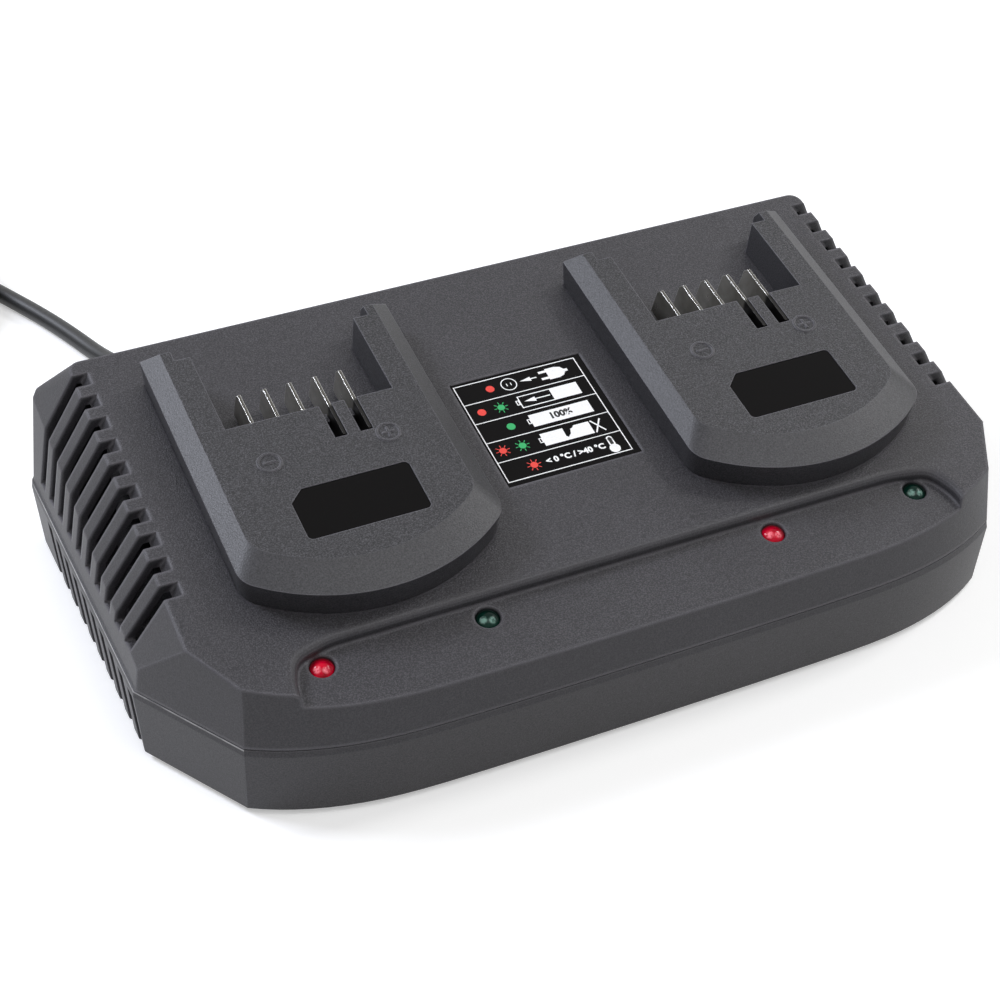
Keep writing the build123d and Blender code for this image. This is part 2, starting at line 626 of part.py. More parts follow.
def ribbon(name, x, width, s, h, z0):
    """Flat ribbon wire standing between the main board and a sloping board."""
    foot = TOP.from_local_coords(Vector(x, s, h))
    with BuildPart() as body:
        with Locations((x, foot.Y, z0)):
            Box(width, 1.4, 60, align=(Align.CENTER, Align.CENTER, Align.MIN))
        top_box(x - width, x + width, s - 60, s + 60, h, h + 90, Mode.SUBTRACT)
    body.part.label = name
    return body.part


def led(name, x):
    """Light with a low domed lens, a flange and two legs."""
    low = LED_TOP - LED_LEN
    cap = (LED_D ** 2 / 4 + LED_DOME ** 2) / (2 * LED_DOME)
    with BuildPart() as body:
        with BuildSketch(TOP.offset(low)):
            with Locations((x, LED_S)):
                Circle(LED_FLANGE / 2)
        extrude(amount=1.0)
        with BuildSketch(TOP.offset(low)):
            with Locations((x, LED_S)):
                Circle(LED_D / 2)
        extrude(amount=LED_LEN - LED_DOME)
        with Locations(Location(TOP.offset(LED_TOP - cap)) * Pos(x, LED_S, 0)):
            Sphere(cap, arc_size1=degrees(asin(1 - LED_DOME / cap)), align=None)
        for dx in (-LED_LEG, LED_LEG):
            top_box(x + dx - 0.25, x + dx + 0.25, LED_S - 0.25, LED_S + 0.25,
                    low - LED_BOARD - 1.2, low)
    body.part.label = name
    return body.part


with BuildPart() as led_board:
    board_h = LED_TOP - LED_LEN
    top_box(-LED_BOARD_X / 2, LED_BOARD_X / 2, LED_S - LED_BOARD_FRONT,
            LED_S - LED_BOARD_FRONT + LED_BOARD_S, board_h - LED_BOARD, board_h)
    for sx in (-1, 1):
        for x in (LED_OUTER, LED_INNER):
            for dx in (-LED_LEG, LED_LEG):
                top_box(sx * x + dx - 0.25, sx * x + dx + 0.25, LED_S - 0.25, LED_S + 0.25,
                        -20, 0, Mode.SUBTRACT)

with BuildPart() as main_board:
    with Locations((0, (PCB_Y0 + PCB_Y1) / 2, PCB_Z)):
        Box(PCB_W, PCB_Y1 - PCB_Y0, PCB_T, align=(Align.CENTER, Align.CENTER, Align.MIN))
    with Locations(*[(sx * POST_X, y, PCB_Z) for sx in (-1, 1) for y in (POST_Y0, POST_Y1)]):
        Cylinder(PIN_D / 2, 10, mode=Mode.SUBTRACT)

DECK_Z = PCB_Z + PCB_T
LOW_ALIGN = (Align.CENTER, Align.CENTER, Align.MIN)

with BuildPart() as transformer_core:
    with Locations((*TRAFO_AT, DECK_Z + TRAFO_STAND)):
        Box(TRAFO_W, TRAFO_T, TRAFO_H, align=LOW_ALIGN)
    with Locations((*TRAFO_AT, DECK_Z + TRAFO_STAND + TRAFO_LEG / 2)):
        Box(TRAFO_W - TRAFO_LEG, TRAFO_T + 2, WINDING_H, align=LOW_ALIGN, mode=Mode.SUBTRACT)
    with Locations((*TRAFO_AT, DECK_Z + TRAFO_STAND)):
        Box(TRAFO_LEG, TRAFO_T, TRAFO_H, align=LOW_ALIGN)

with BuildPart() as transformer_winding:
    winding_z = DECK_Z + TRAFO_STAND + TRAFO_LEG / 2
    with Locations((*TRAFO_AT, winding_z)):
        Box(TRAFO_W - TRAFO_LEG, WINDING_T, WINDING_H, align=LOW_ALIGN)
    for sy in (-1, 1):
        with Locations((TRAFO_AT[0], TRAFO_AT[1] + sy * (WINDING_T / 2 - PAD_T / 2), DECK_Z)):
            Box(TRAFO_W - TRAFO_LEG, PAD_T, winding_z - DECK_Z, align=LOW_ALIGN)
    with Locations((*TRAFO_AT, winding_z)):
        Box(TRAFO_LEG, TRAFO_T, WINDING_H, align=LOW_ALIGN, mode=Mode.SUBTRACT)
    chamfer(transformer_winding.edges().filter_by(Axis.Z).group_by(Axis.Y)[0], length=0.8)


def capacitor(name, x, y, radius, height):
    """Electrolytic capacitor standing on the main board."""
    with BuildPart() as body:
        with Locations((x, y, DECK_Z)):
            Cylinder(radius, height, align=LOW_ALIGN)
        chamfer(body.edges().sort_by(Axis.Z)[-1], length=0.6)
    body.part.label = name
    return body.part


def heatsink(name, x, y):
    """Finned aluminium heatsink standing on the main board."""
    reach = SINK_T / 2 + SINK_FIN / 2
    gap = (SINK_W - 4.0) / (SINK_FINS - 1)
    with BuildPart() as body:
        with Locations((x, y, DECK_Z)):
            Box(SINK_T, SINK_W, SINK_H, align=LOW_ALIGN)
        for k in range(SINK_FINS):
            fin_y = y + (k - (SINK_FINS - 1) / 2) * gap
            with Locations((x + (reach if x > 0 else -reach), fin_y, DECK_Z + 3)):
                Box(SINK_FIN, 1.6, SINK_H - 3, align=LOW_ALIGN)
    body.part.label = name
    return body.part


def transistor(name, x, y):
    """Power transistor clipped to a heatsink, three legs on the board."""
    reach = SINK_T / 2 + CHIP_T / 2
    at = x + (-reach if x > 0 else reach)
    with BuildPart() as body:
        with Locations((at, y, DECK_Z + 5)):
            Box(CHIP_T, CHIP_W, CHIP_H, align=LOW_ALIGN)
        for k in (-1, 0, 1):
            with Locations((at, y + k * CHIP_PITCH, DECK_Z)):
                Box(0.6, 0.8, 5.5, align=LOW_ALIGN)
    body.part.label = name
    return body.part


with BuildPart() as choke:
    with Locations(Pos(MAINS_X, CHOKE_Y, DECK_Z + CHOKE_R) * Rot(0, 90, 0)):
        Cylinder(CHOKE_R, CHOKE_T)
        Cylinder(CHOKE_R * 0.45, CHOKE_T, mode=Mode.SUBTRACT)

with BuildPart() as rectifier:
    with Locations((MAINS_X, RECT_Y, DECK_Z + 2)):
        Box(RECT_W, 4, 13, align=LOW_ALIGN)
    for k in range(4):
        with Locations((MAINS_X + (k - 1.5) * RECT_W / 4, RECT_Y, DECK_Z)):
            Box(0.9, 0.9, 2.5, align=LOW_ALIGN)

with BuildPart() as fuse:
    with Locations(Pos(FUSE_X, FUSE_Y, DECK_Z + 4.5) * Rot(90, 0, 0)):
        Cylinder(2.6, FUSE_L)
    for sy in (-1, 1):
        with Locations((FUSE_X, FUSE_Y + sy * (FUSE_L / 2 - 2.5), DECK_Z)):
            Box(6.4, 4.5, 5.5, align=LOW_ALIGN)

with BuildPart() as mains_block:
    with Locations((EXIT_X, 38, DECK_Z)):
        Box(12, 8, 9, align=LOW_ALIGN)

with BuildPart() as strain_relief:
    with BuildSketch(Plane.XZ.offset(-REAR_Y)):
        with Locations((EXIT_X, EXIT_Z)):
            Circle(FLANGE_D / 2)
    extrude(amount=-FLANGE_T)
    with BuildSketch(Plane.XZ.offset(-REAR_Y + WALL)):
        with Locations((EXIT_X, EXIT_Z)):
            Circle(HOLE_D / 2)
    extrude(amount=-WALL)
    with BuildSketch(Plane.XZ.offset(-REAR_Y + WALL + FLANGE_T)):
        with Locations((EXIT_X, EXIT_Z)):
            Circle(FLANGE_D / 2)
    extrude(amount=-FLANGE_T)
    with BuildSketch(Plane.XZ.offset(-REAR_Y - FLANGE_T)):
        with Locations((EXIT_X, EXIT_Z)):
            Circle(BOOT_D0 / 2)
    with BuildSketch(Plane.XZ.offset(-REAR_Y - FLANGE_T - BOOT_LEN)):
        with Locations((EXIT_X, EXIT_Z)):
            Circle(BOOT_D1 / 2)
    loft()
    for k in range(5):
        with BuildSketch(Plane.XZ.offset(-REAR_Y - FLANGE_T - 4 - k * 5)):
            with Locations((EXIT_X, EXIT_Z)):
                Rectangle(BOOT_D0, BOOT_D0)
                Rectangle(BOOT_D0 * 0.6, BOOT_D0 * 2, mode=Mode.SUBTRACT)
        extrude(amount=-1.6, mode=Mode.SUBTRACT)
    fillet(strain_relief.edges().group_by(Axis.Y)[-1], radius=0.6)


def wire(name, dx):
    """Insulated lead from the mains block to the cord."""
    with BuildPart() as body:
        with BuildSketch(Plane.XZ.offset(-WIRE_Y)):
            with Locations((EXIT_X + dx, EXIT_Z)):
                Circle(1.0)
        extrude(amount=-(REAR_Y - WALL - FLANGE_T - WIRE_Y))
    body.part.label = name
    return body.part


def screw(name, x, y):
    """Self-cutting housing screw, driven from below."""
    with BuildPart() as body:
        with Locations((x, y, SCREW_SEAT_Z)):
            Cylinder(SCREW_D / 2, SCREW_LEN, align=LOW_ALIGN)
        with Locations((x, y, SCREW_SEAT_Z - SCREW_HEAD_H)):
            Cylinder(SCREW_HEAD_D / 2, SCREW_HEAD_H, align=LOW_ALIGN)
        chamfer(body.edges().sort_by(Axis.Z)[0], length=0.6)
        with Locations((x, y, SCREW_SEAT_Z - SCREW_HEAD_H)):
            Box(3.8, 0.9, 2.8, mode=Mode.SUBTRACT)
            Box(0.9, 3.8, 2.8, mode=Mode.SUBTRACT)
    body.part.label = name
    return body.part


def foot(name, x, y):
    """Rubber foot pressed into its recess."""
    with BuildPart() as body:
        with Locations((x, y, 0)):
            Cylinder(FOOT_D / 2, FOOT_H, align=LOW_ALIGN)
        chamfer(body.edges().sort_by(Axis.Z)[0], length=0.5)
    body.part.label = name
    return body.part


def name_label(name, cx):
    """Bare glossy plate in the dock top."""
    with BuildPart() as body:
        extrude(name_face(TOP.offset(DOCK_TOP - LABEL_SINK), cx, 0.0), amount=LABEL_T)
    body.part.label = name
    return body.part


def corner_radii(points):
    """Largest arc at each corner that leaves a straight stretch on both runs."""
    radii = []
    for a, b, c in zip(points, points[1:], points[2:]):
        before = Vector(*b) - Vector(*a)
        after = Vector(*c) - Vector(*b)
        turn = acos(before.normalized().dot(after.normalized()))
        radii.append(0.45 * min(before.length, after.length) / tan(turn / 2))
    return radii


def tube(points):
    """Round cord along straight runs joined by tangent arcs."""
    radii = corner_radii(points)
    print("arc radii", [round(r, 1) for r in radii])
    with BuildPart() as body:
        with BuildLine() as path:
            FilletPolyline(*points, radius=radii)
        with BuildSketch(Plane(origin=path.line @ 0, z_dir=path.line % 0)):
            Circle(CORD_D / 2)
        sweep(path=path.line)
    length = sum(edge.length for edge in path.line.edges())
    print("tube volume %.0f, section times length %.0f" % (
        body.part.volume, pi * CORD_D ** 2 / 4 * length))
    return body.part


COIL_IN = COIL_OUT - CORD_D

with BuildPart() as cord_tie:
    with Locations(Pos(*COIL_AT, 0) * Rot(0, 0, TIE_ANGLE)):
        with Locations(((COIL_OUT + COIL_IN) / 2, 0, 0)):
            Box(2 * CORD_D + 2 * TIE_T, TIE_W, COIL_ROWS * CORD_D + TIE_T, align=LOW_ALIGN)
            with Locations((0, 0, TIE_T)):
                Box(2 * CORD_D, TIE_W, COIL_ROWS * CORD_D - TIE_T, align=LOW_ALIGN,
                    mode=Mode.SUBTRACT)

with BuildPart() as cord_coil:
    with Locations((*COIL_AT, 0)):
        Cylinder(COIL_OUT + CORD_D / 2, COIL_ROWS * CORD_D, align=LOW_ALIGN)
        Cylinder(COIL_IN - CORD_D / 2, COIL_ROWS * CORD_D, align=LOW_ALIGN, mode=Mode.SUBTRACT)
    add(cord_tie.part, mode=Mode.SUBTRACT)

with BuildPart() as cord:
    add(tube(ROUTE))
    add(cord_coil.part, mode=Mode.SUBTRACT)

with BuildPart() as cord_tail:
    add(tube(TAIL))
    add(cord_coil.part, mode=Mode.SUBTRACT)

PLUG_Y = TAIL[-1][1] - PLUG_BOOT_L
PLUG_AT = (TAIL[-1][0], PLUG_H / 2)

with BuildPart() as plug_body:
    with BuildSketch(Plane.XZ.offset(-PLUG_Y - PLUG_BOOT_L)):
        with Locations(PLUG_AT):
            Circle(CORD_D / 2 + 1.0)
    with BuildSketch(Plane.XZ.offset(-PLUG_Y)):
        with Locations(PLUG_AT):
            Circle(PLUG_BOOT_D / 2)
    loft()
    with BuildSketch(Plane.XY.offset(0)):
        with Locations((PLUG_AT[0], PLUG_Y)):
            Polygon((-9, 0), (9, 0), (PLUG_W / 2, -14), (PLUG_W / 2, -24),
                    (PLUG_NOSE_W / 2, -PLUG_L), (-PLUG_NOSE_W / 2, -PLUG_L),
                    (-PLUG_W / 2, -24), (-PLUG_W / 2, -14), align=None)
    extrude(amount=PLUG_H)
    fillet(plug_body.edges().filter_by(Axis.Z), radius=2.0)
    fillet(plug_body.edges().group_by(Axis.Z)[-1], radius=1.6)
    fillet(plug_body.edges().group_by(Axis.Z)[0], radius=1.6)
    with Locations((PLUG_AT[0], PLUG_Y - PLUG_L + 4, PLUG_H / 2)):
        Box(PIN_SPACING + 5, 8, 6, mode=Mode.SUBTRACT)

with BuildPart() as plug_pins:
    with Locations((PLUG_AT[0], PLUG_Y - PLUG_L + 4, PLUG_H / 2)):
        Box(PIN_SPACING + 5, 8, 6)
    with BuildSketch(Plane.XZ.offset(-PLUG_Y + PLUG_L)):
        with Locations(*[(PLUG_AT[0] + sx * PIN_SPACING / 2, PLUG_AT[1]) for sx in (-1, 1)]):
            Circle(PLUG_PIN_D / 2)
    extrude(amount=PLUG_PIN_L)
    fillet(plug_pins.edges().group_by(Axis.Y)[0], radius=1.2)

with BuildPart() as info_label:
    top_box(INFO_X - INFO_W / 2, INFO_X + INFO_W / 2, INFO_S0, INFO_S1, -LABEL_SINK,
            -LABEL_SINK + LABEL_T)

parts = []
for sub, name in ((upper_housing, "upper_housing"), (lower_housing, "lower_housing"),
                  (led_board, "led_board"), (main_board, "main_board"),
                  (transformer_core, "transformer_core"),
                  (transformer_winding, "transformer_winding"),
                  (choke, "choke"),
                  (rectifier, "rectifier"), (fuse, "fuse"), (mains_block, "mains_block"),
                  (strain_relief, "strain_relief"), (info_label, "info_label"),
                  (cord, "cord"), (cord_coil, "cord_coil"), (cord_tie, "cord_tie"),
                  (cord_tail, "cord_tail"), (plug_body, "plug_body"),
                  (plug_pins, "plug_pins")):
    sub.part.label = name
    parts.append(sub.part)

for side, cx in (("left", -DOCK_X), ("right", DOCK_X)):
    sx = -1 if cx < 0 else 1
    parts.append(dock(side + "_dock", cx))
    parts.append(holder(side + "_contact_holder", cx))
    for i in range(BLADES):
        parts.append(blade("%s_blade_%d" % (side, i + 1), cx, i))
    parts.append(contact_board(side + "_contact_board", cx))
    parts.append(ribbon(side + "_ribbon", cx + BLADE_MID, 12.0, CB_S1 + 3, HOLD_LOW - CB_T,
                        DECK_Z))
    parts.append(name_label(side + "_dock_label", cx))
    parts.append(capacitor(side + "_output_capacitor", sx * OUT_CAP_X + OUT_CAP_SHIFT, OUT_CAP_Y,
                           OUT_CAP_R, OUT_CAP_H))
    sink = SINK_LEFT if sx < 0 else SINK_RIGHT
    parts.append(heatsink(side + "_heatsink", *sink))
    parts.append(transistor(side + "_transistor", *sink))
    parts.append(led(side + "_red_led", -LED_OUTER if sx < 0 else LED_INNER))
    parts.append(led(side + "_green_led", -LED_INNER if sx < 0 else LED_OUTER))

parts.append(capacitor("mains_capacitor", MAINS_X, CAP_Y, CAP_R, CAP_H))
parts.append(ribbon("led_ribbon", 0.0, 14.0, LED_S + 4.0, LED_TOP - LED_LEN - LED_BOARD, DECK_Z))
parts.append(wire("live_wire", -1.5))
parts.append(wire("neutral_wire", 1.5))
for sx, side in ((-1, "left"), (1, "right")):
    for (bx, by), end in zip(SCREWS, ("rear", "front")):
        parts.append(screw("%s_%s_screw" % (side, end), sx * bx, by))
    for (bx, by), end in zip(FEET, ("rear", "front")):
        parts.append(foot("%s_%s_foot" % (side, end), sx * bx, by))

for part in parts:
    export_step(part, "parts/%s.step" % part.label)
    box = part.bounding_box()
    print("%-24s %d solid  %8.1f mm3  %s %s" % (part.label, len(part.solids()), part.volume,
          tuple(round(v, 1) for v in box.min), tuple(round(v, 1) for v in box.max)))
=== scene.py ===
import json
from math import cos, pi, radians, sin

import bmesh
import bpy
from mathutils import Matrix, Vector


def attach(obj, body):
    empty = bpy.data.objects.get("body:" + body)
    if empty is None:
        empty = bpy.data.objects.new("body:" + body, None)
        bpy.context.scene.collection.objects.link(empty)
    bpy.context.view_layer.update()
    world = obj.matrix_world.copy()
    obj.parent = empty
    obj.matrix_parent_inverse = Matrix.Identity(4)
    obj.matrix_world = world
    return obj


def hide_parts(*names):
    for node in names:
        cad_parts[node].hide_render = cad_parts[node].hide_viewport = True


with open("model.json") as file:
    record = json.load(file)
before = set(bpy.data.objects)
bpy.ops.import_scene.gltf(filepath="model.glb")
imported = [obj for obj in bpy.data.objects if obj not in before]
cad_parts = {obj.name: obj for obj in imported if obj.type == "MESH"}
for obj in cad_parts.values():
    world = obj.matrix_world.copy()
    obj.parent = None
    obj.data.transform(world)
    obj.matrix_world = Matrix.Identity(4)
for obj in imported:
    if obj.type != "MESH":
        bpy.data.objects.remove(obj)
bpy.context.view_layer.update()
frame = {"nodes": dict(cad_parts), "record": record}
nodes = frame["nodes"]

MM = 0.001

# ---- top face frame, as in the part's source ---------------------------------------
TILT = radians(12.0)
REAR_TOP_Y = 54.85
REAR_TOP_Z = 62.4
PART_Z = 22.6            # parting line of the housing
BAY_S = 45.2             # how far down the slope the contact bays reach
LABEL_H = -0.2           # printed face of the pictogram label, from the top face
LABEL_X = (-17.9, 16.6)  # outline of the label's print, across
LABEL_S = (-75.9, -40.6)  # and up the slope
INK_LIFT = 0.02          # one print over the film, or over another print

# ---- camera ---------------------------------------------------------------------
LENS = 72.13
CAMERA_AT = Vector((-182.78, -381.80, 338.74)) * MM
CAMERA_RIGHT = Vector((0.910405, -0.413663, -0.006725))
CAMERA_DOWN = Vector((-0.252468, -0.542617, -0.801141))
CAMERA_AHEAD = Vector((0.327753, 0.731061, -0.598438))

# ---- light ------------------------------------------------------------------------
LIGHT_AIM = Vector((0.0, 0.0, 0.03))
WORLD_LIGHT = 0.27       # strength of the world where it isn't seen
FLOOR_HALF = 3.0         # metres
FLOOR_GLOW = 0.4         # keeps the floor white where it is seen

# ---- cord -------------------------------------------------------------------------
CORD_D = 5.5
COIL_AT = (-144.7, 213.7)
COIL_OUT = 34.75
COIL_ENTRY = 25.0
COIL_EXIT = 2700.0
COIL_STEP = 15.0
SHIFT_FIRST = 305.0      # each change of layer starts here, and then every 342.5 degrees
SHIFT_EVERY = 342.5
SHIFT_WIDE = 45.0
ROUTE = ((-72.0, 100.45, 13.5), (-72.0, 118.0, 13.5), (-78.0, 141.0, 2.75),
         (-88.0, 173.2, 2.75), (-100.5, 201.2, 2.75))
TAIL = ((-179.45, 197.2, 19.0), (-180.0, 175.2, 6.85), (-180.0, 155.2, 6.85))
CELLS = ((0, 0), (1, 0), (1, 1), (0, 1), (0, 2), (1, 2), (1, 3), (0, 3))


def top_point(x, s, h):
    """A point given across, up the slope and out of the top face, in millimetres."""
    y = REAR_TOP_Y + s * cos(TILT) - h * sin(TILT)
    z = REAR_TOP_Z + s * sin(TILT) + h * cos(TILT)
    return Vector((x, y, z)) * MM


# ---- looks shared by materials --------------------------------------------------------
STEEP, LEVEL = 0.90, 0.97     # upright part of the normal on a wall, and on a grained face
WALL_GRAIN = 0.35             # how much of the grain a wall has
EDGE_STARTS, EDGE_FULL = 0.997, 0.94   # cosines of how far an edge turns the normal
PLASTIC_SHEEN = (0.4, 0.4, 0.4, 1)
# pale colour of the painted highlight along the parting line
PAINTED_RIM_HIGHLIGHT = (0.62, 0.61, 0.60, 1)
# painted highlights on a lens, two spots: the surface's direction there, and the cosine at each
# spot's edge and middle
LENS_GLINT_SPOTS = (((-0.435, -0.378, 0.817), 0.952, 0.990), ((0.129, -0.600, 0.790), 0.958, 0.996))


# ---- shader helpers -----------------------------------------------------------------
def node(tree, kind, **inputs):
    """A shader node with some inputs set or linked by name."""
    made = tree.nodes.new(kind)
    for name, value in inputs.items():
        socket = made.inputs[name.replace("_", " ")]
        if isinstance(value, bpy.types.NodeSocket):
            tree.links.new(value, socket)
        else:
            socket.default_value = value
    return made


def math_node(tree, operation, a, b=0.0, c=0.0):
    """The result of one operation on up to three numbers or sockets."""
    made = tree.nodes.new("ShaderNodeMath")
    made.operation = operation
    for socket, value in zip(made.inputs, (a, b, c)):
        if isinstance(value, bpy.types.NodeSocket):
            tree.links.new(value, socket)
        else:
            socket.default_value = value
    return made.outputs[0]


def mix_colour(tree, fac, a, b):
    """Colour a where fac is 0, colour b where it is 1."""
    made = tree.nodes.new("ShaderNodeMix")
    made.data_type = "RGBA"
    for socket, value in ((made.inputs[0], fac), (made.inputs[6], a), (made.inputs[7], b)):
        if isinstance(value, bpy.types.NodeSocket):
            tree.links.new(value, socket)
        else:
            socket.default_value = value
    return made.outputs[2]


def remap(tree, value, low, high, to_low, to_high):
    """A value's range stretched to another range, and held at its ends."""
    made = tree.nodes.new("ShaderNodeMapRange")
    tree.links.new(value, made.inputs[0])
    for i, number in enumerate((low, high, to_low, to_high)):
        made.inputs[i + 1].default_value = number
    return made.outputs[0]


def dot(tree, a, b):
    """The dot product of two vectors, the second a socket or three numbers."""
    made = tree.nodes.new("ShaderNodeVectorMath")
    made.operation = "DOT_PRODUCT"
    tree.links.new(a, made.inputs[0])
    if isinstance(b, bpy.types.NodeSocket):
        tree.links.new(b, made.inputs[1])
    else:
        made.inputs[1].default_value = b
    return made.outputs["Value"]


def object_place(tree):
    """Where the shaded point lies on its piece."""
    return tree.nodes.new("ShaderNodeTexCoord").outputs["Object"]


def object_normal(tree, axis=None):
    """Which way the surface faces, as a vector or along one axis of its piece."""
    facing = tree.nodes.new("ShaderNodeTexCoord").outputs["Normal"]
    if axis is None:
        return facing
    return node(tree, "ShaderNodeSeparateXYZ", Vector=facing).outputs[axis]


def scaled(colour, factor):
    """A colour made darker or paler, its alpha kept at 1."""
    return tuple(min(c * factor, 1.0) for c in colour[:3]) + (1.0,)


def group_io(name, inputs, outputs):
    """An empty node group with the named sockets."""
    tree = bpy.data.node_groups.new(name, "ShaderNodeTree")
    for label, kind, value in inputs:
        made = tree.interface.new_socket(label, in_out="INPUT", socket_type=kind)
        made.default_value = value
    for label, kind in outputs:
        tree.interface.new_socket(label, in_out="OUTPUT", socket_type=kind)
    return tree, tree.nodes.new("NodeGroupInput"), tree.nodes.new("NodeGroupOutput")


def texture_grain():
    """Spark-eroded mould texture, finer on steep faces that draw from the mould, with a painted
    shade or painted light shifting the tone of those faces: pits, slow tone changes, a bumped
    normal that rounds the edges off, and a mask of those edges."""
    tree, given, out = group_io(
        "mould_grain",
        (("Scale", "NodeSocketFloat", 2600.0), ("Depth", "NodeSocketFloat", 0.00005),
         ("Round", "NodeSocketFloat", 0.0005), ("Walls", "NodeSocketFloat", 0.0)),
        (("Tone", "NodeSocketFloat"), ("Patch", "NodeSocketFloat"),
         ("Edge", "NodeSocketFloat"), ("Normal", "NodeSocketVector")))
    where = object_place(tree)
    fine = node(tree, "ShaderNodeTexNoise", Vector=where, Scale=given.outputs["Scale"],
                Detail=2.0, Roughness=0.6)
    upright = math_node(tree, "ABSOLUTE", object_normal(tree, "Z"))
    level = remap(tree, upright, STEEP, LEVEL, WALL_GRAIN, 1.0)
    cell = node(tree, "ShaderNodeTexVoronoi", Vector=where,
                Scale=math_node(tree, "MULTIPLY", given.outputs["Scale"], 0.8))
    patch = node(tree, "ShaderNodeTexNoise", Vector=where, Scale=38.0, Detail=3.0)
    height = math_node(tree, "MULTIPLY_ADD", cell.outputs["Distance"], 0.5,
                       fine.outputs["Fac"])
    edge = node(tree, "ShaderNodeBevel", Radius=given.outputs["Round"])
    edge.samples = 6
    bump = node(tree, "ShaderNodeBump", Height=height,
                Distance=math_node(tree, "MULTIPLY", given.outputs["Depth"], level),
                Normal=edge.outputs["Normal"], Strength=1.0)
    speck = math_node(tree, "SUBTRACT", fine.outputs["Fac"], 0.5)
    # painted shade or painted light on steep faces, by shifting their tone
    wall_shade_shift = math_node(tree, "MULTIPLY", remap(tree, level, WALL_GRAIN, 1.0, 1.0, 0.0),
                      given.outputs["Walls"])
    speck = math_node(tree, "MULTIPLY_ADD", speck, level, math_node(tree, "ADD", wall_shade_shift, 0.5))
    flat = tree.nodes.new("ShaderNodeNewGeometry").outputs["Normal"]
    turn = dot(tree, edge.outputs["Normal"], flat)
    tree.links.new(speck, out.inputs["Tone"])
    tree.links.new(patch.outputs["Fac"], out.inputs["Patch"])
    tree.links.new(remap(tree, turn, EDGE_STARTS, EDGE_FULL, 0.0, 1.0), out.inputs["Edge"])
    tree.links.new(bump.outputs["Normal"], out.inputs["Normal"])
    return tree


def texture_drawn_metal():
    """Fine lines that drawing or rolling leaves, drawn out by Stretch: their pattern and
    their bump, and slow blots of tarnish."""
    tree, given, out = group_io(
        "drawn_metal", (("Stretch", "NodeSocketVector", (1.0, 1.0, 1.0)),),
        (("Lines", "NodeSocketFloat"), ("Blots", "NodeSocketFloat"),
         ("Normal", "NodeSocketVector")))
    where = object_place(tree)
    lined = node(tree, "ShaderNodeMapping", Vector=where, Scale=given.outputs["Stretch"])
    lines = node(tree, "ShaderNodeTexNoise", Vector=lined.outputs[0], Scale=900.0, Detail=3.0)
    blots = node(tree, "ShaderNodeTexNoise", Vector=where, Scale=160.0, Detail=2.0)
    bump = node(tree, "ShaderNodeBump", Height=lines.outputs["Fac"], Distance=0.00002,
                Strength=0.6)
    tree.links.new(lines.outputs["Fac"], out.inputs["Lines"])
    tree.links.new(remap(tree, blots.outputs["Fac"], 0.35, 0.7, 0.0, 0.7),
                   out.inputs["Blots"])
    tree.links.new(bump.outputs["Normal"], out.inputs["Normal"])
    return tree


def texture_ink_cover():
    """A mask of where screen-printed ink lies thin."""
    tree, given, out = group_io("ink_cover", (("Scale", "NodeSocketFloat", 2200.0),),
                                (("Thin", "NodeSocketFloat"),))
    mottle = node(tree, "ShaderNodeTexNoise", Vector=object_place(tree),
                  Scale=given.outputs["Scale"], Detail=2.0)
    tree.links.new(remap(tree, mottle.outputs["Fac"], 0.4, 0.7, 0.0, 1.0),
                   out.inputs["Thin"])
    return tree


def texture_lens_cloud_and_glints():
    """A cloudy core within a lens, and a mask of two ragged painted highlights, spots where
    its surface faces two given directions."""
    tree, given, out = group_io(
        "lens_cloud_and_glints", (("Scale", "NodeSocketFloat", 420.0),),
        (("Cloud", "NodeSocketFloat"), ("Glints", "NodeSocketFloat")))
    where = object_place(tree)
    cloud = node(tree, "ShaderNodeTexNoise", Vector=where, Scale=given.outputs["Scale"],
                 Detail=2.0)
    chips = node(tree, "ShaderNodeTexNoise", Vector=where, Scale=1500.0, Detail=1.0)
    ragged = remap(tree, chips.outputs["Fac"], 0.38, 0.56, 0.25, 1.0)
    first, second = (remap(tree, dot(tree, object_normal(tree), way), starts, full, 0.0, 0.95)
                     for way, starts, full in LENS_GLINT_SPOTS)
    glints = math_node(tree, "MULTIPLY", math_node(tree, "MAXIMUM", first, second), ragged)
    tree.links.new(remap(tree, cloud.outputs["Fac"], 0.35, 0.65, 0.45, 1.1),
                   out.inputs["Cloud"])
    tree.links.new(glints, out.inputs["Glints"])
    return tree


def new_material(name):
    """A material with only a Principled BSDF and its output."""
    made = bpy.data.materials.new(name)
    made.use_nodes = True
    shader = made.node_tree.nodes["Principled BSDF"]
    return made, made.node_tree, shader


def placed(tree, group, **inputs):
    """A node group placed in a material, with the material's own values."""
    made = tree.nodes.new("ShaderNodeGroup")
    made.node_tree = group
    for name, value in inputs.items():
        made.inputs[name].default_value = value
    return made


def parting_line_highlight(tree):
    """A mask of a painted highlight along the parting line on the left wall, broken into
    patches.
    """
    where = object_place(tree)
    height = node(tree, "ShaderNodeSeparateXYZ", Vector=where).outputs["Z"]
    band = remap(tree, height, (PART_Z - 0.8) * MM, (PART_Z - 0.6) * MM, 0.0, 1.0)
    patchy = node(tree, "ShaderNodeTexNoise", Vector=where, Scale=170.0, Detail=3.0)
    band = math_node(tree, "MULTIPLY", band,
                     remap(tree, patchy.outputs["Fac"], 0.35, 0.6, 0.3, 1.0))
    return math_node(tree, "MULTIPLY", band,
                     remap(tree, object_normal(tree, "X"), -0.9, -0.8, 1.0, 0.0))


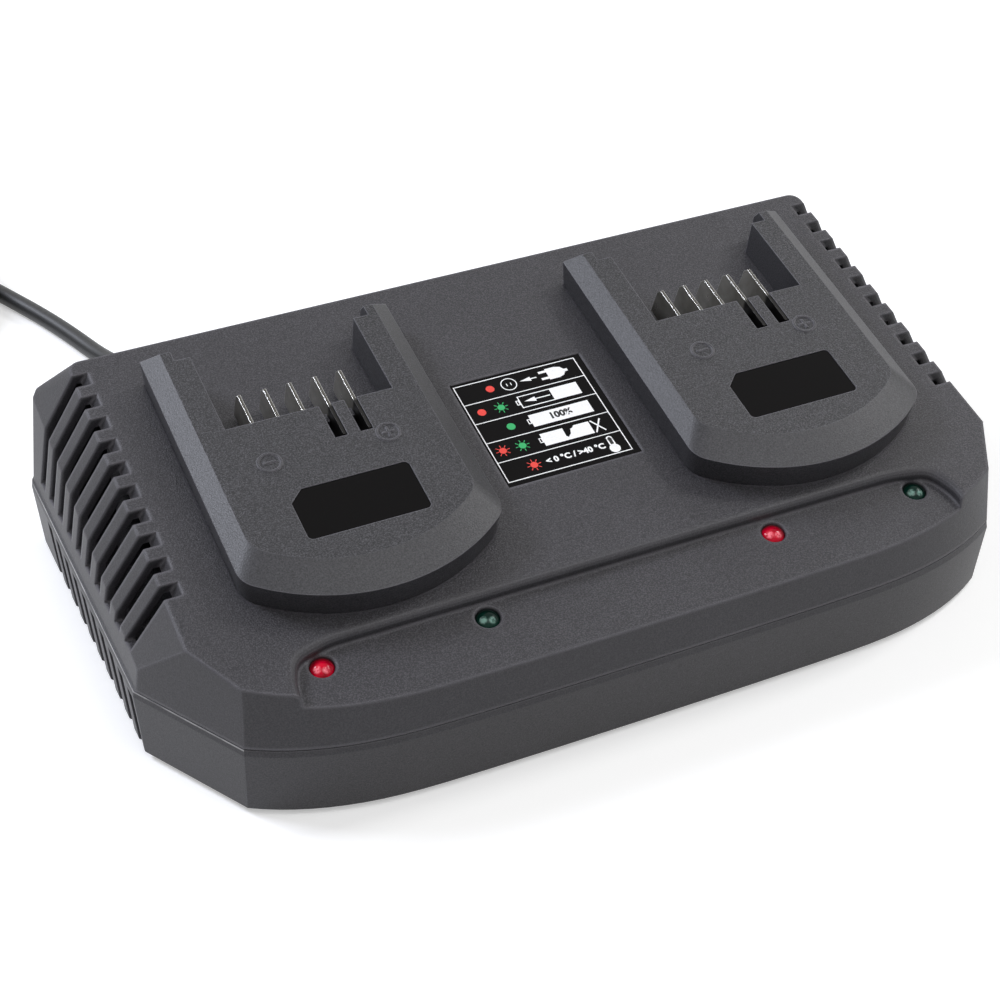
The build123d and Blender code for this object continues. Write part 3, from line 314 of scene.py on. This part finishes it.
def grained_plastic(name, colour, fleck, rough, scale=2600.0, depth=0.00005, rounding=0.0005,
                    specular=0.6, edge_wear_and_highlight=0.25, rim_highlight=False, wall_shade=0.0):
    """Moulded plastic: base colour, paler flecks, edges paled partly by scuffing wear and partly
    as painted highlight, painted shade or light on steep faces, uneven gloss and grain.
    """
    made, tree, shader = new_material(name)
    grain = placed(tree, GRAIN, Scale=scale, Depth=depth, Round=rounding, Walls=wall_shade)
    spots = remap(tree, grain.outputs["Tone"], 0.45, 0.63, 0.0, 1.0)
    tint = mix_colour(tree, spots, colour, fleck)
    # edges paled: partly scuffing wear, partly painted highlight
    worn_and_highlit_edges = math_node(tree, "MULTIPLY", grain.outputs["Edge"], edge_wear_and_highlight)
    tint = mix_colour(tree, worn_and_highlit_edges, tint, scaled(fleck, 2.2))
    # a painted highlight along the parting line
    if rim_highlight:
        tint = mix_colour(tree, parting_line_highlight(tree), tint, PAINTED_RIM_HIGHLIGHT)
    slow = remap(tree, grain.outputs["Patch"], 0.3, 0.7, 0.92, 1.08)
    shade = node(tree, "ShaderNodeHueSaturation", Color=tint, Value=slow)
    tree.links.new(shade.outputs["Color"], shader.inputs["Base Color"])
    tree.links.new(remap(tree, grain.outputs["Tone"], 0.3, 0.7, rough + 0.06, rough - 0.06),
                   shader.inputs["Roughness"])
    tree.links.new(grain.outputs["Normal"], shader.inputs["Normal"])
    shader.inputs["Specular IOR Level"].default_value = specular
    shader.inputs["Specular Tint"].default_value = PLASTIC_SHEEN
    return made


def metal(name, colour, rough, stretch=(1.0, 1.0, 1.0)):
    """Plated or rolled metal with drawn lines along one direction."""
    made, tree, shader = new_material(name)
    drawn = placed(tree, DRAWN_METAL, Stretch=stretch)
    tint = mix_colour(tree, drawn.outputs["Blots"], colour, scaled(colour, 0.72))
    tree.links.new(tint, shader.inputs["Base Color"])
    tree.links.new(remap(tree, drawn.outputs["Lines"], 0.3, 0.7, rough - 0.08, rough + 0.1),
                   shader.inputs["Roughness"])
    tree.links.new(drawn.outputs["Normal"], shader.inputs["Normal"])
    shader.inputs["Metallic"].default_value = 1.0
    return made


def blade_metal(name):
    """Nickelled blade: dull side faces, a painted shade on the thin top face, pale edges that
    are partly polish and partly painted highlight, and painted shade where it lies deep in its
    slot.
    """
    made, tree, shader = new_material(name)
    where = object_place(tree)
    grain = placed(tree, GRAIN, Scale=1400.0, Depth=0.00001, Round=0.0002)
    stain = node(tree, "ShaderNodeTexNoise", Vector=where, Scale=210.0, Detail=3.0)
    dull = mix_colour(tree, remap(tree, stain.outputs["Fac"], 0.35, 0.7, 0.0, 1.0),
                      (0.36, 0.345, 0.31, 1), (0.24, 0.23, 0.20, 1))
    # painted shade: the thin top face is darker than the sides
    side = remap(tree, math_node(tree, "ABSOLUTE", object_normal(tree, "X")),
                 0.4, 0.8, 0.0, 1.0)
    dull = mix_colour(tree, side, (0.10, 0.095, 0.085, 1), dull)
    # pale edges: partly polish, partly painted highlight
    tint = mix_colour(tree, grain.outputs["Edge"], dull, (0.9, 0.89, 0.86, 1))
    along = dot(tree, where, (0.0, cos(TILT) / MM, sin(TILT) / MM))
    bay_end = REAR_TOP_Y * cos(TILT) + REAR_TOP_Z * sin(TILT) - BAY_S
    # painted shade where the blade lies deep in its slot
    deep = remap(tree, along, bay_end - 1.0, bay_end, 1.0, 0.0)
    tint = mix_colour(tree, deep, tint, (0.02, 0.019, 0.018, 1))
    tree.links.new(tint, shader.inputs["Base Color"])
    tree.links.new(remap(tree, stain.outputs["Fac"], 0.3, 0.7, 0.26, 0.4),
                   shader.inputs["Roughness"])
    tree.links.new(grain.outputs["Normal"], shader.inputs["Normal"])
    shader.inputs["Metallic"].default_value = 0.8
    return made


def glossy_film(name):
    """Black printed film: smooth, with faint waviness and dust."""
    made, tree, shader = new_material(name)
    where = object_place(tree)
    wave = node(tree, "ShaderNodeTexNoise", Vector=where, Scale=240.0, Detail=1.0)
    dust = node(tree, "ShaderNodeTexNoise", Vector=where, Scale=3500.0, Detail=2.0)
    specks = remap(tree, dust.outputs["Fac"], 0.66, 0.74, 0.0, 0.35)
    tint = mix_colour(tree, specks, (0.0055, 0.005, 0.005, 1.0), (0.02, 0.02, 0.02, 1.0))
    tree.links.new(tint, shader.inputs["Base Color"])
    shader.inputs["Roughness"].default_value = 0.24
    shader.inputs["Specular IOR Level"].default_value = 0.05
    bump = node(tree, "ShaderNodeBump", Height=wave.outputs["Fac"], Distance=0.00004,
                Strength=0.5)
    tree.links.new(bump.outputs["Normal"], shader.inputs["Normal"])
    return made


def printed(name, colour):
    """Screen-printed ink with slightly uneven cover."""
    made, tree, shader = new_material(name)
    cover = placed(tree, INK_COVER, Scale=2200.0)
    tint = mix_colour(tree, cover.outputs["Thin"], colour, scaled(colour, 0.92))
    tree.links.new(tint, shader.inputs["Base Color"])
    shader.inputs["Roughness"].default_value = 0.5
    return made


def lens(name, deep, pale, glint_colour, glow):
    """Tinted clear lens, with two painted highlights on its dome."""
    made, tree, shader = new_material(name)
    facing = tree.nodes.new("ShaderNodeLayerWeight")
    facing.inputs["Blend"].default_value = 0.45
    cloud_and_glints = placed(tree, LENS_CLOUD_AND_GLINTS, Scale=420.0)
    core = remap(tree, facing.outputs["Facing"], 0.1, 0.6, 1.0, 0.0)
    core = math_node(tree, "MULTIPLY", core, cloud_and_glints.outputs["Cloud"])
    tint = mix_colour(tree, core, deep, pale)
    # two painted highlights: spots of pale colour where the dome faces the given directions
    tint = mix_colour(tree, cloud_and_glints.outputs["Glints"], tint, glint_colour)
    tree.links.new(tint, shader.inputs["Base Color"])
    tree.links.new(tint, shader.inputs["Emission Color"])
    shader.inputs["Emission Strength"].default_value = glow
    shader.inputs["Roughness"].default_value = 0.07
    shader.inputs["Specular IOR Level"].default_value = 0.14
    return made


def circuit_board(name):
    """Green solder mask over copper tracks, with tinned pads."""
    made, tree, shader = new_material(name)
    where = object_place(tree)
    tracks = node(tree, "ShaderNodeTexBrick", Vector=where, Scale=90.0,
                  Color1=(0.012, 0.07, 0.022, 1), Color2=(0.016, 0.1, 0.03, 1),
                  Mortar=(0.008, 0.04, 0.014, 1), Mortar_Size=0.06)
    pads = node(tree, "ShaderNodeTexVoronoi", Vector=where, Scale=240.0)
    tin = remap(tree, pads.outputs["Distance"], 0.14, 0.17, 1.0, 0.0)
    tree.links.new(mix_colour(tree, tin, tracks.outputs["Color"], (0.55, 0.56, 0.54, 1)),
                   shader.inputs["Base Color"])
    tree.links.new(tin, shader.inputs["Metallic"])
    shader.inputs["Roughness"].default_value = 0.35
    bump = node(tree, "ShaderNodeBump", Height=tracks.outputs["Fac"], Distance=0.00005)
    tree.links.new(bump.outputs["Normal"], shader.inputs["Normal"])
    return made


def clear_glass(name):
    """Fuse tube: clear glass, slightly smeared."""
    made, tree, shader = new_material(name)
    where = object_place(tree)
    smear = node(tree, "ShaderNodeTexNoise", Vector=where, Scale=300.0)
    tree.links.new(remap(tree, smear.outputs["Fac"], 0.3, 0.7, 0.03, 0.16),
                   shader.inputs["Roughness"])
    shader.inputs["Base Color"].default_value = (0.86, 0.9, 0.89, 1)
    shader.inputs["Transmission Weight"].default_value = 0.85
    return made


# ---- finishes -------------------------------------------------------------------------
GRAIN = texture_grain()
DRAWN_METAL = texture_drawn_metal()
INK_COVER = texture_ink_cover()
LENS_CLOUD_AND_GLINTS = texture_lens_cloud_and_glints()
HOUSING = grained_plastic("housing_plastic", (0.0235, 0.0225, 0.0255, 1),
                          (0.069, 0.066, 0.0735, 1), 0.46, scale=2800.0, depth=0.00012,
                          rounding=0.0014, specular=0.80, edge_wear_and_highlight=0.55, wall_shade=-0.012)
LOWER = grained_plastic("lower_plastic", (0.022, 0.021, 0.0235, 1), (0.066, 0.063, 0.070, 1),
                        0.46, scale=3000.0, depth=0.00010, rounding=0.0004, specular=0.80,
                        edge_wear_and_highlight=0.5, rim_highlight=True, wall_shade=-0.006)
DOCK = grained_plastic("dock_plastic", (0.009, 0.009, 0.0105, 1), (0.070, 0.068, 0.076, 1),
                       0.43, scale=2800.0, depth=0.00014, rounding=0.0004, specular=0.92,
                       edge_wear_and_highlight=0.85, wall_shade=0.008)
DARK = grained_plastic("black_plastic", (0.012, 0.012, 0.013, 1), (0.03, 0.03, 0.03, 1), 0.5,
                       rounding=0.0002)
RUBBER = grained_plastic("foot_rubber", (0.012, 0.012, 0.012, 1), (0.022, 0.022, 0.022, 1), 0.75,
                         scale=1500.0, rounding=0.0003)
CORD = grained_plastic("cord_rubber", (0.013, 0.0135, 0.014, 1), (0.022, 0.023, 0.024, 1), 0.44,
                       scale=1400.0, depth=0.00002, rounding=0.0002, specular=1.2)
PLUG = grained_plastic("plug_plastic", (0.022, 0.023, 0.025, 1), (0.04, 0.042, 0.044, 1), 0.45,
                       rounding=0.0004)
TIE = grained_plastic("tie_plastic", (0.02, 0.02, 0.02, 1), (0.05, 0.05, 0.05, 1), 0.4,
                      scale=900.0, rounding=0.0002)
FERRITE = grained_plastic("ferrite", (0.02, 0.02, 0.022, 1), (0.05, 0.05, 0.055, 1), 0.65,
                          scale=1800.0, rounding=0.0002)
TAPE = grained_plastic("winding_tape", (0.62, 0.42, 0.05, 1), (0.75, 0.55, 0.1, 1), 0.3,
                       scale=500.0, rounding=0.0003)
SLEEVE = grained_plastic("capacitor_sleeve", (0.012, 0.02, 0.07, 1), (0.02, 0.03, 0.1, 1), 0.28,
                         scale=700.0, rounding=0.0002)
WIRES = grained_plastic("ribbon_insulation", (0.35, 0.35, 0.36, 1), (0.5, 0.5, 0.5, 1), 0.4,
                        scale=900.0, rounding=0.0002)
BLADE = blade_metal("blade_metal")
PINS = metal("pin_metal", (0.78, 0.77, 0.73, 1), 0.2)
STEEL = metal("screw_steel", (0.42, 0.42, 0.43, 1), 0.35)
ALLOY = metal("heatsink_alloy", (0.72, 0.73, 0.74, 1), 0.4, (1.0, 0.1, 1.0))
FILM = glossy_film("label_film")
BOARD = circuit_board("circuit_board")
GLASS = clear_glass("fuse_glass")
RED_LENS = lens("lens_red", (0.10, 0.0, 0.004, 1), (0.66, 0.0, 0.024, 1),
                (1.0, 0.24, 0.29, 1), 0.05)
GREEN_LENS = lens("lens_green", (0.0004, 0.006, 0.004, 1), (0.001, 0.034, 0.022, 1),
                  (0.22, 0.38, 0.32, 1), 0.0)
INK_WHITE = printed("ink_white", (0.97, 0.97, 0.97, 1))
INK_RED = printed("ink_red", (0.82, 0.06, 0.045, 1))
INK_GREEN = printed("ink_green", (0.03, 0.42, 0.13, 1))
INK_BLACK = printed("ink_black", (0.006, 0.006, 0.006, 1))

FINISH = {
    "housing_plastic": HOUSING, "circuit_board": BOARD, "ferrite": FERRITE,
    "winding_tape": TAPE, "black_plastic": DARK, "fuse_glass": GLASS, "label_film": FILM,
    "cord_rubber": CORD, "tie_plastic": TIE, "plug_plastic": PLUG, "pin_brass": PINS,
    "blade_brass": BLADE, "ribbon_insulation": WIRES, "capacitor_sleeve": SLEEVE,
    "heatsink_aluminium": ALLOY, "led_red": RED_LENS, "led_green": GREEN_LENS,
    "screw_steel": STEEL, "foot_rubber": RUBBER,
}
OWN_FINISH = {"left_dock": DOCK, "right_dock": DOCK, "lower_housing": LOWER}


def dress_nodes():
    """Every carried-over CAD node gets the finish of its material slot, or its own."""
    for row in frame["record"]["subparts"]:
        obj = nodes[row["node"]]
        for place in obj.material_slots:
            place.material = FINISH[row["material_slot"]]
    for name, finish in OWN_FINISH.items():
        for place in nodes[name].material_slots:
            place.material = finish


# ---- camera, light and floor ---------------------------------------------------------
def camera():
    """The view from above on the left front."""
    data = bpy.data.cameras.new("camera")
    data.lens = LENS
    data.sensor_width = 36.0
    data.clip_start = 0.05
    data.clip_end = 20.0
    obj = bpy.data.objects.new("camera", data)
    turn = Matrix((CAMERA_RIGHT, -CAMERA_DOWN, -CAMERA_AHEAD)).transposed()
    obj.matrix_world = Matrix.Translation(CAMERA_AT) @ turn.to_4x4()
    bpy.context.collection.objects.link(obj)
    bpy.context.scene.camera = obj


def background_ray(tree):
    """1 where the background is seen directly, in a reflection or through glass."""
    path = tree.nodes.new("ShaderNodeLightPath")
    seen = math_node(tree, "MAXIMUM", path.outputs["Is Camera Ray"],
                     path.outputs["Is Transmission Ray"])
    return math_node(tree, "MAXIMUM", seen, path.outputs["Is Glossy Ray"])


def area_light(name, at, size, power, tint=(1.0, 1.0, 1.0)):
    """A rectangular lamp that points at the object."""
    data = bpy.data.lights.new(name, "AREA")
    data.shape = "RECTANGLE"
    data.size, data.size_y = size
    data.energy = power
    data.color = tint
    obj = bpy.data.objects.new(name, data)
    obj.location = at
    obj.rotation_euler = (LIGHT_AIM - Vector(at)).to_track_quat("-Z", "Y").to_euler()
    bpy.context.collection.objects.link(obj)


def studio():
    """A cool box behind on the left, a small one on the right, one above in front, and an
    even world that is white where it is seen."""
    area_light("left_box", (-0.94, 0.78, 1.19), (0.55, 0.48), 18.0, tint=(0.84, 0.88, 1.0))
    area_light("right_box", (0.98, 0.02, 1.06), (0.30, 0.28), 5.2)
    area_light("top_box", (0.15, -0.7, 1.5), (1.1, 0.9), 8.5)
    world = bpy.data.worlds.new("studio")
    bpy.context.scene.world = world
    world.use_nodes = True
    tree = world.node_tree
    back = tree.nodes["Background"]
    tree.links.new(remap(tree, background_ray(tree), 0.0, 1.0, WORLD_LIGHT, 1.0),
                   back.inputs["Strength"])
    back.inputs["Color"].default_value = (1, 1, 1, 1)
    bpy.context.scene.view_settings.view_transform = "Standard"


def floor():
    """Pale paper that takes the object's shadow."""
    mesh = bpy.data.meshes.new("floor")
    mesh.from_pydata([(sx * FLOOR_HALF, sy * FLOOR_HALF, 0.0)
                      for sx, sy in ((-1, -1), (1, -1), (1, 1), (-1, 1))], [], [(0, 1, 2, 3)])
    obj = bpy.data.objects.new("floor", mesh)
    bpy.context.collection.objects.link(obj)
    made, tree, shader = new_material("floor_paper")
    where = object_place(tree)
    tooth = node(tree, "ShaderNodeTexNoise", Vector=where, Scale=900.0)
    shader.inputs["Base Color"].default_value = (0.81, 0.81, 0.81, 1)
    shader.inputs["Roughness"].default_value = 0.9
    shader.inputs["Specular IOR Level"].default_value = 0.1
    shader.inputs["Emission Color"].default_value = (1, 1, 1, 1)
    tree.links.new(math_node(tree, "MULTIPLY", background_ray(tree), FLOOR_GLOW),
                   shader.inputs["Emission Strength"])
    bump = node(tree, "ShaderNodeBump", Height=tooth.outputs["Fac"], Distance=0.00001)
    tree.links.new(bump.outputs["Normal"], shader.inputs["Normal"])
    mesh.materials.append(made)


# ---- cord -------------------------------------------------------------------------
def coil_points():
    """Turns beside and on each other, changing cell once a turn."""
    made = []
    angle = COIL_ENTRY
    while angle <= COIL_EXIT + 0.01:
        column, layer = CELLS[0]
        for k in range(len(CELLS) - 1):
            part = min(max((angle - SHIFT_FIRST - k * SHIFT_EVERY) / SHIFT_WIDE, 0.0), 1.0)
            part = part * part * (3 - 2 * part)
            column += part * (CELLS[k + 1][0] - CELLS[k][0])
            layer += part * (CELLS[k + 1][1] - CELLS[k][1])
        reach = COIL_OUT - column * CORD_D
        turn = radians(angle)
        made.append((COIL_AT[0] + reach * cos(turn), COIL_AT[1] + reach * sin(turn),
                     CORD_D / 2 + layer * CORD_D))
        angle += COIL_STEP
    return made


def mains_cord():
    """The whole cord as one tube, from the rear wall through the coil to the plug."""
    data = bpy.data.curves.new("mains_cord", "CURVE")
    data.dimensions = "3D"
    data.bevel_depth = CORD_D / 2 * MM
    data.bevel_resolution = 8
    data.resolution_u = 8
    data.use_fill_caps = True
    line = data.splines.new("NURBS")
    points = list(ROUTE) + coil_points() + list(TAIL)
    line.points.add(len(points) - 1)
    for place, p in zip(line.points, points):
        place.co = (p[0] * MM, p[1] * MM, p[2] * MM, 1.0)
    line.order_u = 3
    line.use_endpoint_u = True
    data.materials.append(CORD)
    obj = bpy.data.objects.new("mains_cord", data)
    bpy.context.collection.objects.link(obj)
    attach(obj, "root")
    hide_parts("cord", "cord_coil", "cord_tail")


# ---- printed marks -------------------------------------------------------------------
class Print:
    """Flat ink shapes collected in the top face's frame and made into one mesh."""

    def __init__(self, name, ink, height):
        self.name, self.ink, self.height = name, ink, height
        self.mesh = bmesh.new()

    def shape(self, points):
        """One filled outline."""
        corners = [self.mesh.verts.new(top_point(x, s, self.height)) for x, s in points]
        self.mesh.faces.new(corners)

    def bar(self, x0, x1, s0, s1):
        """A filled rectangle."""
        self.shape([(x0, s0), (x1, s0), (x1, s1), (x0, s1)])

    def line(self, a, b, wide):
        """A stroke from a to b."""
        along = Vector((b[0] - a[0], b[1] - a[1])).normalized() * (wide / 2)
        self.shape([(a[0] + along.y, a[1] - along.x), (b[0] + along.y, b[1] - along.x),
                    (b[0] - along.y, b[1] + along.x), (a[0] - along.y, a[1] + along.x)])

    def disc(self, x, s, radius, steps=28):
        """A filled circle."""
        self.shape([(x + radius * cos(2 * pi * i / steps), s + radius * sin(2 * pi * i / steps))
                    for i in range(steps)])

    def ring(self, x, s, radius, wide, steps=36):
        """A circle drawn as a band, wide measured inwards."""
        for i in range(steps):
            a, b = 2 * pi * i / steps, 2 * pi * (i + 1) / steps
            inner = radius - wide
            self.shape([(x + radius * cos(a), s + radius * sin(a)),
                        (x + radius * cos(b), s + radius * sin(b)),
                        (x + inner * cos(b), s + inner * sin(b)),
                        (x + inner * cos(a), s + inner * sin(a))])

    def frame(self, x0, x1, s0, s1, wide):
        """An open rectangle."""
        self.bar(x0, x1, s1 - wide, s1)
        self.bar(x0, x1, s0, s0 + wide)
        self.bar(x0, x0 + wide, s0 + wide, s1 - wide)
        self.bar(x1 - wide, x1, s0 + wide, s1 - wide)

    def done(self):
        """The print as an object on the label."""
        bmesh.ops.recalc_face_normals(self.mesh, faces=self.mesh.faces)
        data = bpy.data.meshes.new(self.name)
        self.mesh.to_mesh(data)
        self.mesh.free()
        data.materials.append(self.ink)
        obj = bpy.data.objects.new(self.name, data)
        bpy.context.collection.objects.link(obj)
        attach(obj, "root")


def pictograms():
    """Five rows that say what the lights mean, drawn as plain signs."""
    white = Print("label_signs_white", INK_WHITE, LABEL_H + INK_LIFT)
    red = Print("label_signs_red", INK_RED, LABEL_H + INK_LIFT)
    green = Print("label_signs_green", INK_GREEN, LABEL_H + INK_LIFT)
    black = Print("label_signs_black", INK_BLACK, LABEL_H + 2 * INK_LIFT)
    (left, right), (low, high) = LABEL_X, LABEL_S
    border, rule, shaft, dot_r = 0.28, 0.26, 0.34, 1.15
    rows = [high + (low - high) * k / 5 for k in range(6)]
    white.frame(left, right, low, high, border)
    for s in rows[1:-1]:
        white.bar(left + border, right - border, s - rule / 2, s + rule / 2)
    mid = [(a + b) / 2 for a, b in zip(rows, rows[1:])]
    near, far = -9.3, -14.7

    def flash(ink, x, s):
        """A blinking lamp: a disc with eight rays."""
        ink.disc(x, s, 1.0)
        for k in range(8):
            c, n = cos(k * pi / 4 + 0.1), sin(k * pi / 4 + 0.1)
            ink.line((x + 1.15 * c, s + 1.15 * n), (x + 1.95 * c, s + 1.95 * n), 0.22)

    # lamps: steady as a disc, blinking with rays
    red.disc(near + 0.4, mid[0], dot_r)
    red.disc(far + 0.4, mid[1], dot_r)
    flash(green, near + 0.4, mid[1])
    green.disc(near, mid[2], dot_r)
    flash(red, far, mid[3])
    flash(green, near, mid[3])
    flash(red, near, mid[4])

    # a plug on its way into a socket
    white.ring(-3.6, mid[0], 2.2, 0.28)
    white.bar(-4.3, -4.05, mid[0] - 0.55, mid[0] + 0.45)
    white.bar(-3.15, -2.9, mid[0] - 0.55, mid[0] + 0.45)
    white.shape([(-0.5, mid[0]), (2.6, mid[0] - 0.75), (2.6, mid[0] + 0.75)])
    white.bar(2.6, 4.3, mid[0] - shaft / 2, mid[0] + shaft / 2)
    white.shape([(7.4, mid[0] - 2.0), (10.2, mid[0] - 2.0), (11.6, mid[0] - 1.5),
                 (12.3, mid[0] - 0.5), (12.3, mid[0] + 0.5), (11.6, mid[0] + 1.5),
                 (10.2, mid[0] + 2.0), (7.4, mid[0] + 2.0)])
    for side in (-1, 1):
        white.bar(5.3, 7.4, mid[0] + side * 1.2 - 0.4, mid[0] + side * 1.2 + 0.4)
    white.bar(12.3, 13.2, mid[0] - 0.45, mid[0] + 0.45)

    # batteries: filling, full, and broken with a cross beside it
    b0, b1, tall = -3.7, 13.2, 2.15
    for k in (1, 2, 3):
        white.frame(b0 - 0.9, b0 + 0.01, mid[k] - 0.85, mid[k] + 0.85, 0.25)
    white.frame(b0, 5.7, mid[1] - tall, mid[1] + tall, 0.3)
    white.bar(5.7, b1, mid[1] - tall, mid[1] + tall)
    white.shape([(-2.4, mid[1]), (0.8, mid[1] - 0.8), (0.8, mid[1] + 0.8)])
    white.bar(0.8, 4.9, mid[1] - shaft / 2, mid[1] + shaft / 2)
    white.bar(b0, b1, mid[2] - tall, mid[2] + tall)
    words(black, "100%", 4.6, mid[2], 2.9, 0.14)
    white.shape([(b0, mid[3] - tall), (10.0, mid[3] - tall), (10.0, mid[3] + tall),
                 (5.8, mid[3] + tall), (5.3, mid[3] + 1.5), (4.6, mid[3] + 1.3),
                 (4.1, mid[3] - 0.2), (3.1, mid[3] - 1.2), (2.6, mid[3] - 0.7),
                 (2.7, mid[3] + tall), (b0, mid[3] + tall)])
    for side in (-1, 1):
        white.line((10.5, mid[3] - side * tall), (13.2, mid[3] + side * tall), 0.42)
    # temperature limits and a thermometer
    words(white, "< 0 °C / >40 °C", 2.2, mid[4], 2.5, 0.11)
    for ink, thick, foot in ((white, 0.85, -0.3), (black, 0.45, -0.1)):
        ink.disc(12.5, mid[4] + 1.9, thick)
        ink.bar(12.5 - thick, 12.5 + thick, mid[4] + foot, mid[4] + 1.9)
    white.disc(12.5, mid[4] - 1.6, 1.45)
    for ink in (white, red, green, black):
        ink.done()


def words(ink, text, x, s, size, heavy):
    """Plain figures set in Blender's own letters, added to a print."""
    data = bpy.data.curves.new("figures", "FONT")
    data.body = text
    data.size = size
    data.offset = heavy
    data.align_x = "CENTER"
    data.align_y = "CENTER"
    data.resolution_u = 3
    obj = bpy.data.objects.new("figures", data)
    bpy.context.collection.objects.link(obj)
    bpy.context.view_layer.update()
    flat = bpy.data.meshes.new_from_object(obj)
    for face in flat.polygons:
        ink.shape([(x + flat.vertices[i].co.x, s + flat.vertices[i].co.y)
                   for i in face.vertices])
    bpy.data.objects.remove(obj)


camera()
mains_cord()
studio()
floor()
dress_nodes()
pictograms()
